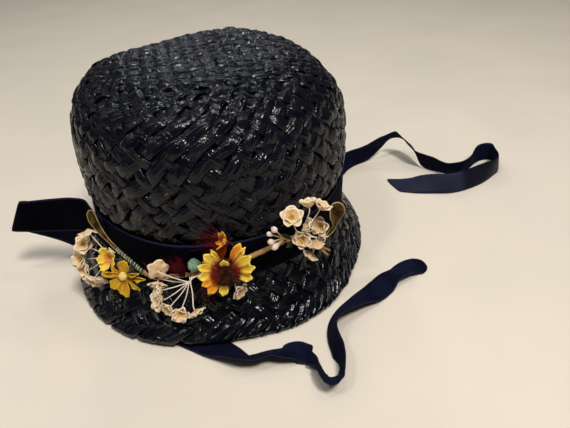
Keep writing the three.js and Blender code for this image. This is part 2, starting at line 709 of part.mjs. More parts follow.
// The sunflower's petals and dark eye face out and a little up
function sunflowerPose() {
  return { position: place(SUNFLOWER), direction: outwardAt(SUNFLOWER.azimuth, SUNFLOWER_RISE) };
}

function sunflowerPetals() {
  const { position, direction } = sunflowerPose();
  const foot = garlandPoint(SUNFLOWER.azimuth, FOOT_REACH);
  return headOnStem(lobedHead({ ...SUNFLOWER, wall: SUNFLOWER_WALL }), position, direction, foot);
}

function sunflowerEye() {
  const { position, direction } = sunflowerPose();
  const base = SUNFLOWER_WALL + (SUNFLOWER.cup * EYE_RADIUS) / SUNFLOWER.radius + SEAT_GAP;
  const body = turnedBody(EYE_PROFILE, EYE_RADIUS, EYE_RISE, EYE_SIDES);
  return facing(body, position.addScaledVector(direction, base), direction);
}

function calyx() {
  const body = turnedBody(CALYX_PROFILE, CALYX.radius, CALYX.length, CALYX_SIDES);
  return facing(body, place(CALYX), outwardAt(CALYX.face, CALYX.rise));
}

// The scene graph

const hat = new THREE.Group();

function add(name, geometry, finish) {
  const mesh = new THREE.Mesh(geometry, new THREE.MeshStandardMaterial(FINISH[finish]));
  mesh.name = name;
  hat.add(mesh);
  return mesh;
}

add("crown", crown(), "straw");
add("brim", brim(), "straw");
add("band", band(), "ribbon");
add("side_loop", sideLoop(), "ribbon");
const ties = [
  add("front_tie", tie(FRONT_TIE_INSIDE, FRONT_TIE_LYING), "ribbon"),
  add("rear_tie", tie(REAR_TIE_INSIDE, REAR_TIE_LYING), "ribbon"),
];
add("garland_stem", garlandStem(), "stem");
for (const spray of SPRAYS) {
  sprayBlossoms(spray).forEach((geometry, index) => {
    add(`blossom_${spray.name}_${index + 1}`, geometry, "cream");
  });
}
add("sunflower_petals", sunflowerPetals(), "yellow");
add("sunflower_eye", sunflowerEye(), "brown");
add("calyx", calyx(), "green");
add("yellow_daisy", singleFlower(DAISY), "yellow");
add("yellow_trumpet", singleFlower(TRUMPET), "yellow");
add("orange_bud", singleFlower(ORANGE_BUD), "orange");
add("left_leaf", leaf(LEFT_LEAF), "leaf");
add("right_leaf", leaf(RIGHT_LEAF), "leaf");
BUDS.forEach((row, index) => add(`bud_${index + 1}`, bud(row), "cream"));
SMALL_LEAVES.forEach((row, index) => add(`small_leaf_${index + 1}`, smallLeaf(row), "darkgreen"));
TUFTS.forEach((row, index) => add(`red_tuft_${index + 1}`, tuft(row), "red"));

// The origin is under the middle of the hat without its loose ties
const footprint = new THREE.Box3();
for (const mesh of hat.children) {
  if (!ties.includes(mesh)) footprint.expandByObject(mesh);
}
const centre = footprint.getCenter(new THREE.Vector3());
hat.position.set(-centre.x, -centre.y, -footprint.min.z);

export default hat;
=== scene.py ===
# %% [markdown]
# # Dressing a plaited straw hat
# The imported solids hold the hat's sizes: crown, brim, ribbon and a spray of cloth flowers. This lesson
# dresses them one after another: real plaited strips for the straw, velvet for the ribbon, and cut,
# cupped cloth for the flowers. Each piece is built in its solid's place, in one shared frame.

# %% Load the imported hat
import math

import bpy
import numpy as np
from mathutils import Matrix, Vector


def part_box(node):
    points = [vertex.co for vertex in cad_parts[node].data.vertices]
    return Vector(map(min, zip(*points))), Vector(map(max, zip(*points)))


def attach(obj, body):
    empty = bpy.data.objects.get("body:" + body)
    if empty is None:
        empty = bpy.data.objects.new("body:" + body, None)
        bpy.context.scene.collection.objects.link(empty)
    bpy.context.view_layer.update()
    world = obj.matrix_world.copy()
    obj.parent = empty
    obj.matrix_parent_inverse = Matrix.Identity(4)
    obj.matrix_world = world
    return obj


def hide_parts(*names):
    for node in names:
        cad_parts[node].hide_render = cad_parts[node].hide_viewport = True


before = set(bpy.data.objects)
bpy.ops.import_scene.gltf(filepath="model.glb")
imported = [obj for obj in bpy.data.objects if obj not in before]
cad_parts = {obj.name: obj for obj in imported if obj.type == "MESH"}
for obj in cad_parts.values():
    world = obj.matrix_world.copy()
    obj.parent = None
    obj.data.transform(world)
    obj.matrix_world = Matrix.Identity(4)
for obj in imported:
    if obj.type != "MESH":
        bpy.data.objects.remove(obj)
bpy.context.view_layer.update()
print("solids loaded:", len(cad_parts))

# %% [markdown]
# ## Camera
# The photograph looks at the hat from the front and from above. A camera was fitted to the outlines of
# the crown and the rim, so it is placed by numbers: a point to look at, a distance, a height angle and a
# slight roll. Routes and sizes below are in millimetres about the hat's own upright axis.

# %% Place the camera
MM = 0.001
RIM_SHIFT = np.array([-4.0, 2.0, 0.0])
LOOK_AT = np.array([44.0, 22.0, 0.0])
CAMERA_DISTANCE = 389.0
CAMERA_RISE = math.radians(34.1)
CAMERA_ROLL = math.radians(-2.6)
FOCAL_PIXELS = 480.0
PHOTO_WIDTH = 570.0
SENSOR_WIDTH = 36.0

brim_low, brim_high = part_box("brim")
brim_middle = np.array([(brim_low.x + brim_high.x) / 2, (brim_low.y + brim_high.y) / 2, 0.0])
AXIS = brim_middle / MM - RIM_SHIFT


def in_frame(points):
    """Millimetres about the hat's axis, turned into metres in the row frame."""
    return (np.asarray(points, float) + AXIS) * MM


back = Vector((0, -math.cos(CAMERA_RISE), math.sin(CAMERA_RISE)))
level = Vector((1, 0, 0))
steep = back.cross(level)
right = math.cos(CAMERA_ROLL) * level + math.sin(CAMERA_ROLL) * steep
above = math.cos(CAMERA_ROLL) * steep - math.sin(CAMERA_ROLL) * level
eye = Vector(in_frame(LOOK_AT)) + back * CAMERA_DISTANCE * MM
camera = bpy.data.objects.new("camera", bpy.data.cameras.new("camera"))
bpy.context.scene.collection.objects.link(camera)
camera.data.sensor_width = SENSOR_WIDTH
camera.data.lens = FOCAL_PIXELS / PHOTO_WIDTH * SENSOR_WIDTH
camera.data.clip_start = 0.01
camera.matrix_world = Matrix.Translation(eye) @ Matrix((right, above, back)).transposed().to_4x4()
bpy.context.scene.camera = camera
print("hat axis at", AXIS.round(2), "mm, camera at", [round(v, 3) for v in eye])

# %% [markdown]
# ## Node helpers
# Materials and Geometry Nodes are both trees of nodes. A node's output is held as a signal here, and the
# signs between signals and numbers add nodes of arithmetic. So a tree reads like the sum that it works
# out.

# %% Add and feed nodes


class Signal:
    """One output of a node. Signs between signals and numbers add nodes of arithmetic."""

    def __init__(self, socket):
        self.socket = socket
        self.tree = socket.id_data

    def __getitem__(self, output):
        return Signal(self.socket.node.outputs[output])

    def __add__(self, other):
        return maths("ADD", self, other)

    def __sub__(self, other):
        return maths("SUBTRACT", self, other)

    def __rsub__(self, other):
        return maths("SUBTRACT", other, self)

    def __mul__(self, other):
        return maths("MULTIPLY", self, other)

    def __truediv__(self, other):
        return maths("DIVIDE", self, other)

    def __rtruediv__(self, other):
        return maths("DIVIDE", other, self)

    def __pow__(self, other):
        return maths("POWER", self, other)


def feed(socket, value):
    """Feeds an input from a signal, or sets it to a plain value. A plain colour is opaque."""
    if isinstance(value, Signal):
        value.tree.links.new(value.socket, socket)
    elif socket.type == "RGBA":
        socket.default_value = (*value, 1.0)
    else:
        socket.default_value = value


def put(tree, kind, feeds=None, **options):
    """Adds a node, sets its options, feeds its inputs by name or number, and gives its first output."""
    made = tree.nodes.new(kind)
    for key, value in options.items():
        setattr(made, key, value)
    for key, value in (feeds or {}).items():
        feed(made.inputs[key], value)
    return Signal(made.outputs[0])


def maths(operation, *values):
    """One step of arithmetic, in the tree of its signals."""
    tree = next(value.tree for value in values if isinstance(value, Signal))
    return put(tree, "ShaderNodeMath", dict(enumerate(values)), operation=operation)


def vector_of(tree, x, y, z):
    """Three values as one vector in a tree."""
    return put(tree, "ShaderNodeCombineXYZ", {0: x, 1: y, 2: z})


def noise_at(vector, scale, detail=2.0, roughness=0.5):
    """Soft random values around 0.5 over a vector."""
    feeds = {"Vector": vector, "Scale": scale, "Detail": detail, "Roughness": roughness}
    return put(vector.tree, "ShaderNodeTexNoise", feeds)


def creased(noise):
    """Noise folded at its middle, which gives sharp creases."""
    return maths("ABSOLUTE", noise - 0.5)


def blend(factor, first, second):
    """A mix of two colours in a material."""
    return put(factor.tree, "ShaderNodeMix", {"Factor": factor, 6: first, 7: second}, data_type="RGBA")[2]


def ramp(value, low, high):
    """Spreads the part of a value between low and high over 0 to 1, with soft ends."""
    feeds = {"Value": value, "From Min": low, "From Max": high}
    return put(value.tree, "ShaderNodeMapRange", feeds, interpolation_type="SMOOTHSTEP")


def named(tree, name):
    """A value that the piece's own mesh carries, in a material."""
    return put(tree, "ShaderNodeAttribute", attribute_name=name)["Fac"]


print("signals ready")

# %% Start materials and node groups
SOCKET_KINDS = {int: "Int", float: "Float", type(None): "Material"}


def new_finish(name, base, roughness, **sockets):
    """A material with plain values in its Principled shader, its tree, and the shader's inputs."""
    material = bpy.data.materials.new(name)
    material.use_nodes = True
    inputs = material.node_tree.nodes["Principled BSDF"].inputs
    for key, value in {"Base_Color": base, "Roughness": roughness, **sockets}.items():
        feed(inputs[key.replace("_", " ")], value)
    return material, material.node_tree, inputs


def new_tree(name, kind, outputs, **inputs):
    """An empty shader or geometry group with named sockets, what it is given, and the outputs to feed."""
    tree = bpy.data.node_groups.new(name, kind + "NodeTree")
    if kind == "Geometry":
        for way in ("INPUT", "OUTPUT"):
            tree.interface.new_socket("Geometry", in_out=way, socket_type="NodeSocketGeometry")
    for key, value in inputs.items():
        sort = "NodeSocket" + SOCKET_KINDS[type(value)]
        socket = tree.interface.new_socket(key.replace("_", " "), in_out="INPUT", socket_type=sort)
        if value is not None:
            socket.default_value = value
    for label in outputs:
        tree.interface.new_socket(label, in_out="OUTPUT", socket_type="NodeSocketFloat")
    return tree, Signal(tree.nodes.new("NodeGroupInput").outputs[0]), tree.nodes.new("NodeGroupOutput").inputs


def use_group(tree, group, **values):
    """Places a node group in a material with its own values."""
    feeds = {key.replace("_", " "): value for key, value in values.items()}
    return put(tree, "ShaderNodeGroup", feeds, node_tree=group)


def bump_from(shader, height, strength, distance):
    """Raises fine relief from a height, in metres."""
    feeds = {"Height": height, "Strength": strength, "Distance": distance}
    feed(shader["Normal"], put(height.tree, "ShaderNodeBump", feeds))


print("node helpers ready")

# %% [markdown]
# ## Velvet and satin
# The ribbon is velvet on one side and smooth on the other. Velvet is dark where it is looked into and catches
# light along its folds, which a sheen layer gives. The pile leans this way and that, so its tone drifts, and
# that effect is shared with the leaves and the sunflower's eye. The same velvet comes in two copies: the
# lighter one, for the ties that lie flat in the light, is painted light, and the much darker one, for the
# band and one face of the side loop, is painted shade. Each long edge is a thin woven selvedge, paler partly
# for its weave and partly as a painted highlight: the ribbon's mesh carries how far across a point is, so the
# edge follows every twist.
# The satin is navy along most of the rear tie and slate towards its end, so its tone changes with the way
# along.

# %% Make the pile group and the soft finishes
PILE_DEPTH = 0.0004
SELVEDGE_AND_HIGHLIGHT_FROM, SELVEDGE_AND_HIGHLIGHT_TO = 0.88, 0.95
pile_group, given, end = new_tree("Pile", "Shader", ("Height", "Drift"), Fibre_Scale=2600.0, Drift_Scale=55.0)
pile_at = put(pile_group, "ShaderNodeTexCoord")["Object"]
feed(end["Height"], noise_at(pile_at, given["Fibre Scale"], 3.0, 0.7))
feed(end["Drift"], ramp(noise_at(pile_at, given["Drift Scale"]), 0.3, 0.7))


def velvet_finish(name, deep, lit, selvedge, sheen):
    """Velvet with a drifting pile and a paler woven edge on both sides, partly its weave and partly a painted
    highlight.
    """
    material, tree, shader = new_finish(
        name, deep, 0.85, Sheen_Weight=sheen, Sheen_Roughness=0.3, Sheen_Tint=(0.13, 0.16, 0.5),
        Specular_IOR_Level=0.03)
    pile = use_group(tree, pile_group)
    # The edge mask: the selvedge is paler partly for its weave and partly as a painted highlight.
    edge = ramp(maths("ABSOLUTE", named(tree, "across")), SELVEDGE_AND_HIGHLIGHT_FROM, SELVEDGE_AND_HIGHLIGHT_TO)
    feed(shader["Base Color"], blend(edge, blend(pile["Drift"], deep, lit), selvedge))
    feed(shader["Roughness"], 0.88 - edge * 0.4)
    bump_from(shader, pile["Height"], 0.5, PILE_DEPTH)
    return material


def plush_finish(name, base, dark, light, drift_scale, relief, **sockets):
    """Plush whose tone drifts between two colours."""
    material, tree, shader = new_finish(name, base, 0.8, Specular_IOR_Level=0.1, **sockets)
    pile = use_group(tree, pile_group, Drift_Scale=drift_scale)
    feed(shader["Base Color"], blend(pile["Drift"], dark, light))
    bump_from(shader, pile["Height"], relief, PILE_DEPTH)
    return material


def strand_finish(name, base, shine, low, high, foot, tip):
    """Fine strands that change from one colour to another between two lengths along them, in metres."""
    material, tree, shader = new_finish(name, base, 0.6, Specular_IOR_Level=shine)
    feed(shader["Base Color"], blend(ramp(named(tree, "along"), low, high), foot, tip))
    return material


print("pile group has", len(pile_group.nodes), "nodes")

# %% Make the lit and the shaded velvet and the satin
# The ties lie flat and face the light: this lighter copy of the velvet is painted light.
lit_velvet = velvet_finish("navy velvet", (0.0034, 0.0043, 0.0135), (0.0072, 0.009, 0.026),
                           (0.018, 0.018, 0.04), 0.04)
# The band and the side loop stand upright, out of the light: this much darker copy of the same velvet is
# painted shade.
shaded_velvet = velvet_finish("shaded navy velvet", (0.0004, 0.0004, 0.0013), (0.0013, 0.0015, 0.0048),
                            (0.014, 0.011, 0.034), 0.03)
SATIN_NAVY = (0.0036, 0.0044, 0.0125)
SATIN_DARK = (0.012, 0.0135, 0.031)
SATIN_LIGHT = (0.018, 0.021, 0.047)
SLATE_FROM, SLATE_TO = 0.318, 0.328
WEAVE_ALONG, WEAVE_ACROSS, WEAVE_DEPTH = 9000.0, 95.0, 0.0002
satin, tree, shader = new_finish("slate satin back", SATIN_DARK, 0.5, Specular_IOR_Level=0.1)
along = named(tree, "along")
pile = use_group(tree, pile_group, Drift_Scale=38.0)
slate_tone = blend(pile["Drift"], SATIN_DARK, SATIN_LIGHT)
# Navy up to this length along the tie, slate after it.
feed(shader["Base Color"], blend(ramp(along, SLATE_FROM, SLATE_TO), SATIN_NAVY, slate_tone))
feed(shader["Roughness"], pile["Drift"] * 0.16 + 0.42)
weave = maths("SINE", along * WEAVE_ALONG) * maths("SINE", named(tree, "across") * WEAVE_ACROSS)
bump_from(shader, weave, 0.25, WEAVE_DEPTH)
print("ribbon finishes:", lit_velvet.name, shaded_velvet.name, satin.name)

# %% [markdown]
# ## Smooth routes
# Ribbons, stems and leaves follow rows of numbers. A smooth curve is laid through the rows and cut into
# fine sections, and single values, such as a ribbon's tilt, are smoothed in the same steps.

# %% Smooth curves through rows of numbers


def smooth_route(rows, steps):
    """A centripetal curve through points: its own points and its unit directions."""
    rows = np.asarray(rows, float)
    padded = np.vstack([2 * rows[0] - rows[1], rows, 2 * rows[-1] - rows[-2]])
    gaps = np.linalg.norm(np.diff(padded, axis=0), axis=1) ** 0.5
    points, ways = [], []
    for first in range(len(rows) - 1):
        p0, p1, p2, p3 = padded[first:first + 4]
        d0, d1, d2 = gaps[first:first + 3]
        leave = ((p1 - p0) / d0 - (p2 - p0) / (d0 + d1) + (p2 - p1) / d1) * d1
        arrive = ((p2 - p1) / d1 - (p3 - p1) / (d1 + d2) + (p3 - p2) / d2) * d1
        square = 3 * (p2 - p1) - 2 * leave - arrive
        cube = 2 * (p1 - p2) + leave + arrive
        last = first == len(rows) - 2
        share = np.linspace(0, 1, steps + 1)[:steps + last, None]
        points.append(p1 + leave * share + square * share ** 2 + cube * share ** 3)
        ways.append(leave + 2 * square * share + 3 * cube * share ** 2)
    ways = np.concatenate(ways)
    return np.concatenate(points), ways / np.linalg.norm(ways, axis=1)[:, None]


def smooth_values(values, steps):
    """A smooth run of single values through those given, with the same number of steps between two."""
    values = np.asarray(values, float)
    padded = np.concatenate([values[:1], values, values[-1:]])
    run = []
    for first in range(len(values) - 1):
        p0, p1, p2, p3 = padded[first:first + 4]
        last = first == len(values) - 2
        t = np.linspace(0, 1, steps + 1)[:steps + last]
        square = 2 * p0 - 5 * p1 + 4 * p2 - p3
        cube = 3 * (p1 - p2) + p3 - p0
        run.append(0.5 * (2 * p1 + (p2 - p0) * t + square * t ** 2 + cube * t ** 3))
    return np.concatenate(run)


def waves(angle, rows):
    """A sum of waves over an angle, from rows of a size, a number of turns and a start."""
    return sum(size * np.sin(times * angle + start) for size, times, start in rows)


def unit(vectors):
    """Vectors of length one."""
    return vectors / np.linalg.norm(vectors, axis=-1, keepdims=True)


def lengths_along(points):
    """The distance from the first point to each point."""
    return np.concatenate([[0.0], np.cumsum(np.linalg.norm(np.diff(points, axis=0), axis=1))])


print("route helpers ready")

# %% [markdown]
# ## The straw's surface
# Every piece sits on or near the straw, so its surface is a function: an upright profile, turned round an
# ellipse, leaned, pulled to one side at the rim, dented by hand, and arched where the ties come out. The
# numbers are those of the solids, only sampled more finely. Only the rim's slight swing outwards, at the
# front, is added here, as the photograph shows it.

# %% Turn the profile into a surface
HALF_WIDTH, HALF_LENGTH = 83.5, 92.5
MEAN_HALF = (HALF_WIDTH + HALF_LENGTH) / 2
HAT_HEIGHT, HEAD_LINE, BULGE_HEIGHT, BULGE = 139.0, 36.0, 69.0, 3.5
SHOULDER_POWER = 3.9
SHOULDER_STEPS = 240
CROWN_LEAN = np.array([-2.0, 0.0])
STRAW_WALL = 2.5
FLARE_ROWS = np.array([
    (0, 21.5), (3, 20.6), (12, 14.6), (21, 8.6), (29, 3.4), (35.6, 0.4), (36, 0.2), (48, 0.2), (61, 1),
    (69, 3.5)])
DENT_CENTRE = np.array([0.0, 0.0, 60.0])
DENTS = (
    (-35, 40, 137, 22, 4), (12, 42, 137, 24, -2.5), (-80, 10, 120, 22, -2), (-88, 5, 86, 20, 2.5),
    (72, 15, 126, 22, 2.3), (88, 12, 96, 20, -2))
RIM_ARCHES = ((265, 32, 2.6), (41, 18, 2.6))
RIM_WAVES = ((243, 45, 4.3), (307, 29, 4.4))
WAVE_TOP = 24.0


def flare_at(height):
    """How far the straw stands outside the head line at a height."""
    return np.interp(height, FLARE_ROWS[:, 0], FLARE_ROWS[:, 1])


def ellipse_radius(turn, offset):
    """The radius of the head's ellipse, grown by an offset, in one direction."""
    return 1 / np.hypot(np.cos(turn) / (HALF_WIDTH + offset), np.sin(turn) / (HALF_LENGTH + offset))


def dented(points):
    """Presses the soft dents into points of the straw."""
    out = unit(points - DENT_CENTRE)
    moved = points.copy()
    for x, y, z, spread, depth in DENTS:
        away = np.linalg.norm(points - np.array([x, y, z]), axis=-1)
        moved -= out * (depth * np.exp(-(away / spread) ** 2))[..., None]
    return moved


def humps(turn, rows):
    """The height of soft humps in one direction, from rows of an azimuth, a half width and a height."""
    total = np.zeros_like(turn)
    for azimuth, half, height in rows:
        away = np.abs((np.degrees(turn) - azimuth + 180) % 360 - 180) / half
        total += np.where(away < 1, height * np.cos(np.minimum(away, 1) * math.pi / 2) ** 2, 0)
    return total


def straw_point(turn, share, flare, height, arched=True):
    """A point of the straw from a direction, a share of the radius, a flare and a height."""
    turn, height = np.broadcast_arrays(np.asarray(turn, float), np.asarray(height, float))
    radius = share * ellipse_radius(turn, flare)
    pull = np.maximum(0, 1 - height / HEAD_LINE)
    lean = np.maximum(0, (height - BULGE_HEIGHT) / (HAT_HEIGHT - BULGE_HEIGHT))
    x = radius * np.cos(turn) + pull * RIM_SHIFT[0] + lean * CROWN_LEAN[0]
    y = radius * np.sin(turn) + pull * RIM_SHIFT[1] + lean * CROWN_LEAN[1]
    arch = pull * humps(turn, RIM_ARCHES)
    return dented(np.stack([x, y, height + arch], -1)) - np.array([0, 0, 0.0 if arched else float(arch)])


def off_side(azimuth, height, reach):
    """A point that far off the straw's side, straight out, by azimuth in degrees."""
    turn = math.radians(azimuth)
    out = np.array([math.cos(turn), math.sin(turn), 0.0])
    return straw_point(turn, 1.0, flare_at(height), height, arched=False) + out * reach


print("straw is", HAT_HEIGHT, "mm high")

# %% Sample the profile from the crown's middle to the rim
shoulder = np.linspace(math.pi / 2, 0, SHOULDER_STEPS)
shoulder_share = np.maximum(np.cos(shoulder), 0) ** (2 / SHOULDER_POWER)
shoulder_height = BULGE_HEIGHT + (HAT_HEIGHT - BULGE_HEIGHT) * np.sin(shoulder) ** (2 / SHOULDER_POWER)
side_height = np.linspace(BULGE_HEIGHT, 0, 300)[1:]
softening = np.exp(-np.linspace(-2, 2, 21) ** 2)
side_flare = np.convolve(np.pad(flare_at(side_height), 10, mode="edge"), softening / softening.sum(), "valid")
PROFILE_SHARE = np.concatenate([shoulder_share, np.ones_like(side_height)])
PROFILE_FLARE = np.concatenate([np.full_like(shoulder, BULGE), side_flare])
PROFILE_HEIGHT = np.concatenate([shoulder_height, side_height])
profile_radius = PROFILE_SHARE * (MEAN_HALF + PROFILE_FLARE)
PROFILE_RUN = lengths_along(np.stack([profile_radius, PROFILE_HEIGHT], -1))
RIM_RUN = PROFILE_RUN[-1]


def straw_at(turn, run):
    """A point of the straw by direction and by distance down the profile from the crown's middle."""
    share, flare, height = (
        np.interp(run, PROFILE_RUN, column) for column in (PROFILE_SHARE, PROFILE_FLARE, PROFILE_HEIGHT))
    turn, height = np.broadcast_arrays(np.asarray(turn, float), np.asarray(height, float))
    swing = humps(turn, RIM_WAVES) * np.clip(1 - height / WAVE_TOP, 0, 1)
    out = np.stack([np.cos(turn), np.sin(turn), np.zeros_like(turn)], -1)
    return straw_point(turn, share, flare, height) + out * swing[..., None]


def straw_facing(turn, run):
    """The outward direction of the straw, and the direction down its side."""
    round_step, down_step = 0.004, 0.4
    sideways = straw_at(turn + round_step, run) - straw_at(turn - round_step, run)
    run = np.clip(run, down_step, RIM_RUN - down_step)
    down = unit(straw_at(turn, run + down_step) - straw_at(turn, run - down_step))
    return unit(np.cross(down, sideways)), down


print("profile from crown to rim:", round(RIM_RUN, 1), "mm")

# %% [markdown]
# ## Ribbon pieces
# A ribbon's mesh is a row of thin sections: a face, a back and two edges. Its points carry how far across and
# along they are, for the selvedge, whose paleness is partly a painted highlight, and the weave. Its free end
# is cut on the slant, with corners worn round.

# %% Make pieces from points


def carry(mesh, name, values):
    """Stores one value for each point of a mesh under a name."""
    mesh.attributes.new(name, "FLOAT", "POINT").data.foreach_set("value", np.asarray(values, np.float32))


def piece_from(name, mesh, finishes):
    """Puts a finished mesh into the scene, at the origin, with its materials."""
    for finish in finishes:
        mesh.materials.append(finish)
    made = bpy.data.objects.new(name, mesh)
    bpy.context.scene.collection.objects.link(made)
    return made


def grid_faces(rows, columns, close_rows=False, close_columns=False):
    """The four-cornered faces of a grid of points that is stored row after row."""
    row = np.arange(rows if close_rows else rows - 1)[:, None]
    column = np.arange(columns if close_columns else columns - 1)
    here, there = row * columns, (row + 1) % rows * columns
    turn = (column + 1) % columns
    return np.stack([here + column, here + turn, there + turn, there + column], -1).reshape(-1, 4)


def smooth_piece(name, points, faces, finishes, **values):
    """A smooth piece from points in millimetres, with its materials and with named values for each point."""
    mesh = bpy.data.meshes.new(name)
    mesh.from_pydata(in_frame(points).reshape(-1, 3).tolist(), [], faces)
    mesh.polygons.foreach_set("use_smooth", np.ones(len(faces), bool))
    for label, numbers in values.items():
        carry(mesh, label, numbers)
    mesh.update()
    return piece_from(name, mesh, finishes)


def settle(piece, slot, *nodes):
    """A piece that moves with the hat and stands for nodes, whose solids it hides; the slot is not used."""
    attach(piece, "root")
    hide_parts(*nodes)
    corners = sum(len(face.vertices) - 2 for face in piece.data.polygons)
    print(piece.name, corners, "triangles")


print("piece helpers ready")

# %% Build ribbon from sections
RIBBON_WALL = 1.0
TIE_WIDTH = 16.5
SURFACE_GAP = 0.1
SEAT_GAP = 0.4
RIBBON_CELLS = 8
SLANT_RUN = 14.0
EDGE_POWER, EDGE_LEAST = 8, 0.05


def ribbon(name, sections, width, finishes, closed=False, velvet_out=True, slant=0.0, rounding=0.0):
    """A thin ribbon through sections, in millimetres, with its velvet along the normals if velvet_out."""
    middles, across, normals = sections
    count, cells = len(middles), RIBBON_CELLS
    spread = np.linspace(-1, 1, cells + 1)
    flat = middles[:, None] + across[:, None] * (spread * width / 2)[None, :, None]
    run = lengths_along(middles)
    cut = spread * slant - np.abs(spread) ** 3 * rounding
    near_end = np.clip((run - run[-1]) / SLANT_RUN + 1, 0, 1)[:, None] * cut
    flat = flat + unit(np.gradient(middles, axis=0))[:, None] * near_end[..., None]
    rim = np.sqrt(np.clip(1 - np.abs(spread) ** EDGE_POWER, EDGE_LEAST, 1))
    half = normals[:, None] * (rim * RIBBON_WALL / 2)[None, :, None]
    ring = np.concatenate([flat + half, (flat - half)[:, ::-1]], axis=1)
    sides = 2 * (cells + 1)
    faces = grid_faces(count, sides, closed, True)[:, [0, 3, 2, 1]].tolist()
    step = np.arange(len(faces)) % sides
    under = (step >= cells) & (step < sides - 1)
    if not closed:
        faces += [list(range(sides)), list(range(count * sides - 1, (count - 1) * sides - 1, -1))]
        under = np.append(under, [False, False])
    made = smooth_piece(name, ring, faces, finishes, along=np.repeat(run * MM, sides),
                        across=np.tile(np.concatenate([spread, spread[::-1]]), count))
    made.data.polygons.foreach_set("material_index", (under == velvet_out).astype(np.int32))
    return made


print("ribbon of", RIBBON_WALL, "mm, ties", TIE_WIDTH, "mm wide")

# %% [markdown]
# ## The chin ties
# Each tie is one length of ribbon, sewn inside the brim. It comes out under the rim, lies on the surface,
# stands on its edge where it turns, and twists. A flat curve could follow it, but a ribbon also needs its
# own roll along the way, so each row of the route gives a place, a tilt and a lift: tilt 0 lies flat and
# 90 stands on edge. The rows follow the photograph's outlines, close to the solids. Where a tie is bent
# sharply its sections stand askew to the way, and a fifth value gives the direction that they point in.

# %% Lay the two chin ties
FRONT_TIE_INSIDE = (
    (224, 24, 59, 0.3), (230, 20.5, 58, 0.2), (236, 16, 54, 0.8), (243, 10.5, 44, 2.6), (250, 5, 22, 5.6))
REAR_TIE_INSIDE = (
    (42.6, 30, 0, 0.8), (41.9, 20, 0, 1), (41.2, 10, 0, 1.7), (40.7, 3.4, 0, 4.4))
FRONT_TIE_LYING = (
    (-24, -99.5, 4, 0), (-13, -105.5, 0, 0), (-2, -112, -4, 0), (8.5, -119, -22, 0), (17.8, -125.6, -42, 0),
    (24, -125.3, -39, 0), (29.8, -123.5, -41, 0), (33.6, -122.6, -39, 0, 92), (39.9, -122, -29, 0, 94),
    (46.1, -119.4, -6, 0, 96), (50.7, -119.8, -4, 0, 89), (53.6, -121.4, -8, 0, 86),
    (55.2, -124.7, -18, 0, 87), (56.8, -128.1, -28, 0, 86), (58, -132.7, -36, 0, 82),
    (59.4, -137.3, -39, 0, 79), (60.7, -140.2, -40, 0, 80), (62.2, -142.2, -40, 0, 81),
    (64.3, -143.1, -39, 0, 85), (66.8, -142.6, -41, 0, 90), (69.1, -140.8, -45, 0, 92),
    (70.4, -137.4, -50, 0, 96), (70.8, -132.5, -58, 0, 108), (70.2, -127.5, -68, 0, 138),
    (69, -121.8, -75, 0), (67.9, -114, -74, 0), (68.9, -107, -66, 0), (72.6, -98.9, -52, 0),
    (78.9, -91.2, -38, 0), (87.4, -83.9, -25, 0), (97.2, -75.9, -4, 0), (105, -68.6, 0, 0),
    (111.1, -62.6, -15, 0), (118.6, -58.2, -20, 0), (127.1, -51.8, -4, 0), (139, -48.2, 0, 0))
REAR_TIE_LYING = (
    (74, 69.5, 0, 0), (81.5, 75.3, 4, 0), (89.5, 81.3, 24, 0), (99, 88.5, 64, 0), (111.7, 98, 84, 0),
    (124, 104, 90, 2), (137.5, 110, 108, 9), (151, 114, 134, 16), (160, 107, 140, 13), (165, 96, 130, 7.5),
    (169, 88.5, 114, 2.5), (173.8, 83, 104, 0.4), (179.4, 78, 106, 0), (184.5, 73.4, 114, 0),
    (190, 69.6, 116, 0), (197.2, 67.3, 102, 0), (208.2, 74.6, 98, 0), (222.1, 92, 84, 0),
    (228.5, 96.8, 82, 0), (236, 97.5, 86, 0), (239, 89.4, 104, 0), (235.7, 74.5, 98, 0),
    (228.8, 66.8, 94, 0), (215.6, 59, 114, 0), (203, 52, 118, 0), (191, 46, 112, 0), (181, 44.8, 116, 0),
    (171.6, 46.4, 122, 0), (161.5, 49.4, 140, 0), (153.3, 52.2, 158, 0), (146, 54.8, 168, 0),
    (138.5, 57.8, 174, 0))
TIE_STEPS = 6


